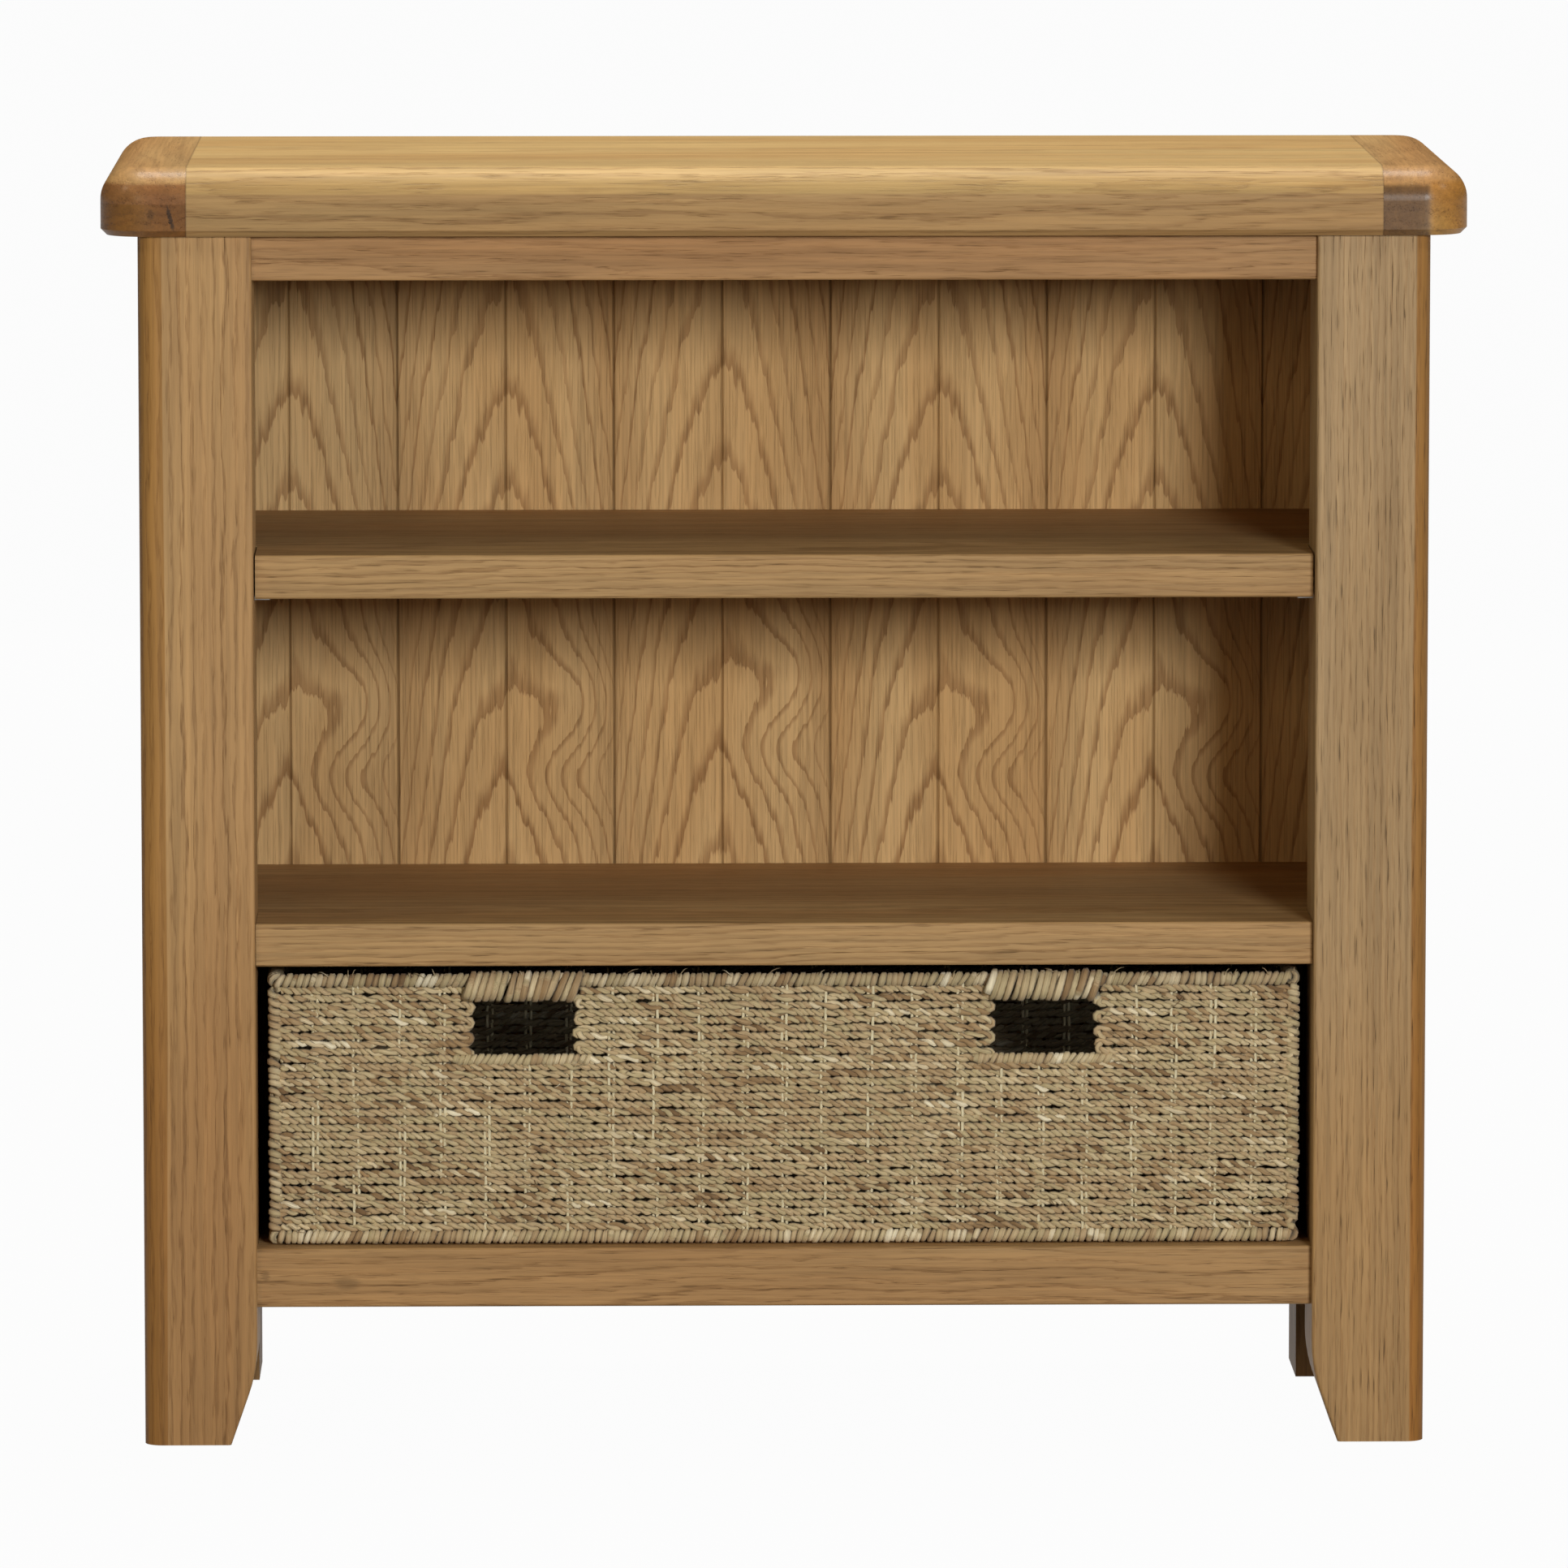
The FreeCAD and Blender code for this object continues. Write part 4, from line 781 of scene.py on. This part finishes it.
def coil(line, out, core, thread, pitch, lean):
    """A thread wound round a core along a line of points, with the outward direction at each point."""
    length = run_length(line)
    count = int(length[-1] / pitch * POINTS_PER_TURN)
    at = np.linspace(0, length[-1], count)
    centre = np.stack([np.interp(at, length, line[:, k]) for k in range(3)], axis=1)
    outward = unit(np.stack([np.interp(at, length, out[:, k]) for k in range(3)], axis=1))
    tangent = unit(np.gradient(centre, axis=0))
    across = np.cross(tangent, outward)
    angle = 2 * math.pi * at / pitch + wobble(at, 1.5, 0.025)
    reach = core * (1 + wobble(at, 0.1, 0.009))
    radial = np.cos(angle)[:, None] * across + np.sin(angle)[:, None] * outward
    slide = ((lean + wobble(at, 1.0 * MM, 0.09)) * np.sin(angle))[:, None] * tangent
    points = centre + reach[:, None] * radial + slide
    return points, radial, thread * (1 + wobble(at, 0.3, 0.006))


def corner_loop(z):
    """The basket's outline as points, with small round corners, at one height."""
    corners = [(HALF_X, FRONT_Y), (HALF_X, BACK_Y), (-HALF_X, BACK_Y), (-HALF_X, FRONT_Y)]
    points = []
    for number, corner in enumerate(corners):
        before = Vector(corners[number - 1])
        here = Vector(corner)
        after = Vector(corners[(number + 1) % 4])
        come = (here - before).normalized()
        leave = (after - here).normalized()
        for share in np.linspace(0, 1, CORNER_POINTS):
            first = here - come * CORNER_BEND * (1 - share)
            second = here + leave * CORNER_BEND * share
            points.append(first.lerp(second, share))
    closed = points + [points[0]]
    filled = []
    for first, second in zip(closed, closed[1:]):
        count = max(int((second - first).length / LINE_STEP), 1)
        filled += [first.lerp(second, k / count) for k in range(count)]
    filled.append(closed[-1])
    return np.array([(p.x, p.y, z) for p in filled])


def straight(first, last, outward):
    """A straight line as points, and the same outward direction at each of them."""
    first, last = np.array(first, float), np.array(last, float)
    count = max(int(np.linalg.norm(last - first) / LINE_STEP), 2)
    line = first + (last - first) * np.linspace(0, 1, count)[:, None]
    return line, np.repeat(np.array([outward], float), count, 0)


def level_bar(x, z, length):
    """A level line along the front wall, centred on x."""
    return straight((x - length / 2, FRONT_Y, z), (x + length / 2, FRONT_Y, z), (0, 0, 1))


def build_rolls():
    """The wrapped rolls along the edges, the grips and the rolls under the finger holes."""
    grass = seagrass("seagrass_wrap", 1.0)
    # A darker copy of the seagrass for the top rim: painted shadow cast by the shelf above it.
    painted_shadow_grass = seagrass("seagrass_top_rim_painted_shadow", 0.88)

    def wrap(name, paths, node, cover=grass):
        join_basket(strands("wrapped_" + name, paths, WRAP_SIDES, WRAP_TONES, cover), node)

    for name, z, cover in (("top_rim", HIGH_Z, painted_shadow_grass), ("bottom_rim", LOW_Z, grass)):
        line = corner_loop(z)
        up = np.repeat(np.array([[0, 0, 1.0]]), len(line), 0)
        wrap(name, [coil(line, up, RIM_CORE, WRAP_THREAD, WRAP_PITCH, RIM_LEAN)], "basket_" + name, cover)
    corners = []
    for x in (-HALF_X, HALF_X):
        for y, out_y in ((FRONT_Y, -1), (BACK_Y, 1)):
            line, out = straight((x, y, LOW_Z + RIM), (x, y, HIGH_Z - RIM), (0, out_y, 0))
            corners.append(coil(line, out, CORNER_CORE, WRAP_THREAD, CORNER_PITCH, CORNER_LEAN))
    wrap("corners", corners, "basket_corner_rolls")
    grips, rolls = [], []
    for x in (-GRIP_X, GRIP_X):
        grip = level_bar(x, GRIP_Z, GRIP_LENGTH)
        grips.append(coil(*grip, GRIP_HALF - WRAP_THREAD, GRIP_THREAD, GRIP_PITCH, GRIP_LEAN))
        roll = level_bar(x, ROLL_Z, ROLL_LENGTH)
        rolls.append(coil(*roll, ROLL_HALF - WRAP_THREAD, WRAP_THREAD, ROLL_PITCH, ROLL_LEAN))
    wrap("grips", grips, "basket_grips")
    wrap("hole_rolls", rolls, "basket_hole_rolls")


# Stakes: pairs of pale uprights, with their places along the front as the photograph shows them.
STAKES = (
    -311.8, -284.8, -254.1, -227.1, -197.5, -171, -143, -115, -85.8, -55.6, -25.9, 0, 25.9, 57.2, 86.3, 117.1,
    143, 171, 199.8, 232.7, 259.2, 285.1, 312.2
)
STAKE_RADIUS = 1.15 * MM
STAKE_INSET = 2 * MM
PAIR = (-1.5 * MM, 1.5 * MM)
SIDE_STAKES = range(-4, 5)


def stake(first, last, outward):
    """One straight stake as a path of strands."""
    line, out = straight(first, last, outward)
    return line, out, np.full(len(line), STAKE_RADIUS)


def build_stakes():
    """The stakes that the rows are woven round, in the walls and in the base."""
    paths = []
    low, high = LOW_Z + STAKE_INSET, HIGH_Z - STAKE_INSET
    for place in STAKES:
        x = place * MM
        for wall_y, out_y in ((FRONT_Y, -1), (BACK_Y, 1)):
            in_hole = wall_y == FRONT_Y and abs(abs(x) - GRIP_X) < HOLE_HALF
            top = ROLL_Z if in_hole else high
            for pair in PAIR:
                path = stake((x + pair, wall_y, low), (x + pair, wall_y, top), (0, out_y, 0))
                line = path[0]
                at = np.arange(len(line)) * LINE_STEP
                line[:, 0] += wobble(at, 0.6 * MM, 0.08)
                depth = 0.5 * MM + wobble(at, 1.9 * MM, 0.11)
                line[:, 1] -= out_y * depth
                paths.append(path)
    for number in SIDE_STAKES:
        y = MID_Y + number * STAKE_PITCH
        for side in (-1, 1):
            x = side * HALF_X
            paths += [stake((x, y + pair, low), (x, y + pair, high), (side, 0, 0)) for pair in PAIR]
    reach = int(HALF_X / STAKE_PITCH)
    for number in range(-reach, reach + 1):
        x = number * STAKE_PITCH
        ends = (x, FRONT_Y + STAKE_INSET, LOW_Z), (x, BACK_Y - STAKE_INSET, LOW_Z)
        paths.append(stake(*ends, (0, 0, -1)))
    join_basket(strands("woven_stakes", paths, 5, WRAP_TONES, pale_stake()))


FIBRES = 150
FIBRE_POINTS = 6
FIBRE_RADII = (0.38 * MM, 0.12 * MM)
FIBRE_FOOT = 3.2 * MM


def build_fibres():
    """Loose ends of grass that stick out of the weave and over the rim."""
    grass = seagrass("seagrass_fibre", 1.1)
    share = np.linspace(0, 1, FIBRE_POINTS)
    paths = []
    for number in range(FIBRES):
        x = draw.uniform(-HALF_X, HALF_X)
        over_rim = number % 3 == 0
        z = HIGH_Z + 2 * MM if over_rim else draw.uniform(LOW_Z, HIGH_Z)
        if not over_rim and abs(abs(x) - GRIP_X) < HOLE_HALF and z > ROLL_Z:
            continue
        reach = draw.uniform(4, 11) * MM
        lean = draw.uniform(-1.2, 1.2)
        rise = 1.0 if over_rim else draw.uniform(-1, 0.6)
        line = np.stack(
            [
                x + lean * reach * share,
                FRONT_Y - FIBRE_FOOT - reach * 0.22 * np.sin(share * 2.6),
                z + rise * reach * 0.6 * np.sin(share * 1.7),
            ],
            axis=1,
        )
        out = np.repeat(np.array([[0, -1.0, 0]]), FIBRE_POINTS, 0)
        paths.append((line, out, np.linspace(*FIBRE_RADII, FIBRE_POINTS)))
    join_basket(strands("loose_fibres", paths, 4, WRAP_TONES, grass))


# The photograph's viewpoint, in metres and degrees.
CAMERA_AT = (-0.142225, -7.695706, 1.355053)
CAMERA_DOWN = 6.912
CAMERA_RIGHT = 1.077
CAMERA_LENS = 263.65
SENSOR = 36.0
VIEW_END = 60


def build_camera():
    data = bpy.data.cameras.new("camera")
    data.lens = CAMERA_LENS
    data.sensor_width = SENSOR
    data.clip_end = VIEW_END
    camera = bpy.data.objects.new("camera", data)
    camera.location = CAMERA_AT
    camera.rotation_euler = (math.radians(90 - CAMERA_DOWN), 0, -math.radians(CAMERA_RIGHT))
    bpy.context.scene.collection.objects.link(camera)
    bpy.context.scene.camera = camera


# Azimuth from the front towards +X and elevation in degrees, distance and size in metres, watts.
# The last lamp stands lower than the top, so that it lights the back and not the top.
LAMPS = {
    "key": (15.5, 12, 6, (1.0, 1.0), 213, (0.97, 0.985, 1.0)),
    "fill": (-22, 13, 6, (1.2, 1.2), 40, (0.95, 0.74, 0.5)),
    "side_left": (-65, 38, 5, (0.8, 0.8), 25, (1, 0.98, 0.75)),
    "side_right": (65, 38, 5, (0.8, 0.8), 25, (1, 1, 1)),
    "top": (180, 82, 4, (2.4, 1.6), 163, (1, 1, 1)),
    "back": (180, -1, 5, (0.6, 0.4), 35, (1, 1, 1)),
}
LAMP_AIM = Vector((0, 0, 0.45))


def area_light(name, azimuth, elevation, distance, size, power, colour):
    """A soft lamp that looks at the middle of the bookcase."""
    data = bpy.data.lights.new(name, "AREA")
    data.shape = "RECTANGLE"
    data.size, data.size_y = size
    data.energy = power
    data.color = colour
    lamp = bpy.data.objects.new(name, data)
    turn, rise = math.radians(azimuth), math.radians(elevation)
    away = Vector((math.sin(turn) * math.cos(rise), -math.cos(turn) * math.cos(rise), math.sin(rise)))
    lamp.location = LAMP_AIM + away * distance
    lamp.rotation_euler = (-away).to_track_quat("-Z", "Y").to_euler()
    bpy.context.scene.collection.objects.link(lamp)


WHITE = (1, 1, 1, 1)
FLOOR_COLOUR = (0.2, 0.19, 0.17, 1)
FLOOR_REACH = 30
SHADOW_SHARE = 0.03
DIM_COLOUR = (1, 0.88, 0.7, 1)
DIM_STRENGTH = 0.012


def build_floor():
    """A floor that looks white to the camera and in reflections, and keeps a soft shadow."""
    g = Graph("pale_floor")
    path = g.tree.nodes.new("ShaderNodeLightPath")
    seen = g.math("MAXIMUM", path.outputs["Is Camera Ray"], path.outputs["Is Glossy Ray"])
    seen = g.math("MAXIMUM", seen, path.outputs["Is Transmission Ray"])
    plain = g.add("ShaderNodeBsdfDiffuse", {"Color": FLOOR_COLOUR})
    white = g.add("ShaderNodeEmission", {"Color": WHITE, "Strength": 1.0})
    shown = g.add("ShaderNodeMixShader", {0: SHADOW_SHARE, 1: white, 2: plain})
    surface = g.add("ShaderNodeMixShader", {0: seen, 1: plain, 2: shown})
    g.add("ShaderNodeOutputMaterial", {"Surface": surface})
    mesh = bpy.data.meshes.new("floor")
    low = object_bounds()[0].z
    signs = ((-1, -1), (1, -1), (1, 1), (-1, 1))
    mesh.from_pydata([(x * FLOOR_REACH, y * FLOOR_REACH, low) for x, y in signs], [], [(0, 1, 2, 3)])
    mesh.materials.append(g.material)
    floor = bpy.data.objects.new("floor", mesh)
    bpy.context.scene.collection.objects.link(floor)


def build_world():
    """White behind the object for the camera, and a dim even light. It isn't white to glossy rays,
    because the top, seen at a grazing angle, would mirror it and come out far too pale."""
    world = bpy.data.worlds.new("studio")
    bpy.context.scene.world = world
    world.use_nodes = True
    tree = world.node_tree
    tree.nodes.clear()
    path = tree.nodes.new("ShaderNodeLightPath")
    seen = tree.nodes.new("ShaderNodeMath")
    seen.operation = "MAXIMUM"
    tree.links.new(path.outputs["Is Camera Ray"], seen.inputs[0])
    tree.links.new(path.outputs["Is Transmission Ray"], seen.inputs[1])
    dim = tree.nodes.new("ShaderNodeBackground")
    dim.inputs["Color"].default_value = DIM_COLOUR
    dim.inputs["Strength"].default_value = DIM_STRENGTH
    white = tree.nodes.new("ShaderNodeBackground")
    white.inputs["Color"].default_value = WHITE
    mix = tree.nodes.new("ShaderNodeMixShader")
    tree.links.new(seen.outputs[0], mix.inputs[0])
    tree.links.new(dim.outputs[0], mix.inputs[1])
    tree.links.new(white.outputs[0], mix.inputs[2])
    out = tree.nodes.new("ShaderNodeOutputWorld")
    tree.links.new(mix.outputs[0], out.inputs[0])


dress_wood()
dress("shelf_pins", metal())
build_rolls()
build_stakes()
build_fibres()
build_walls()
build_camera()
for lamp_name, lamp in LAMPS.items():
    area_light(lamp_name, *lamp)
build_floor()
build_world()
bpy.context.scene.view_settings.view_transform = "Standard"
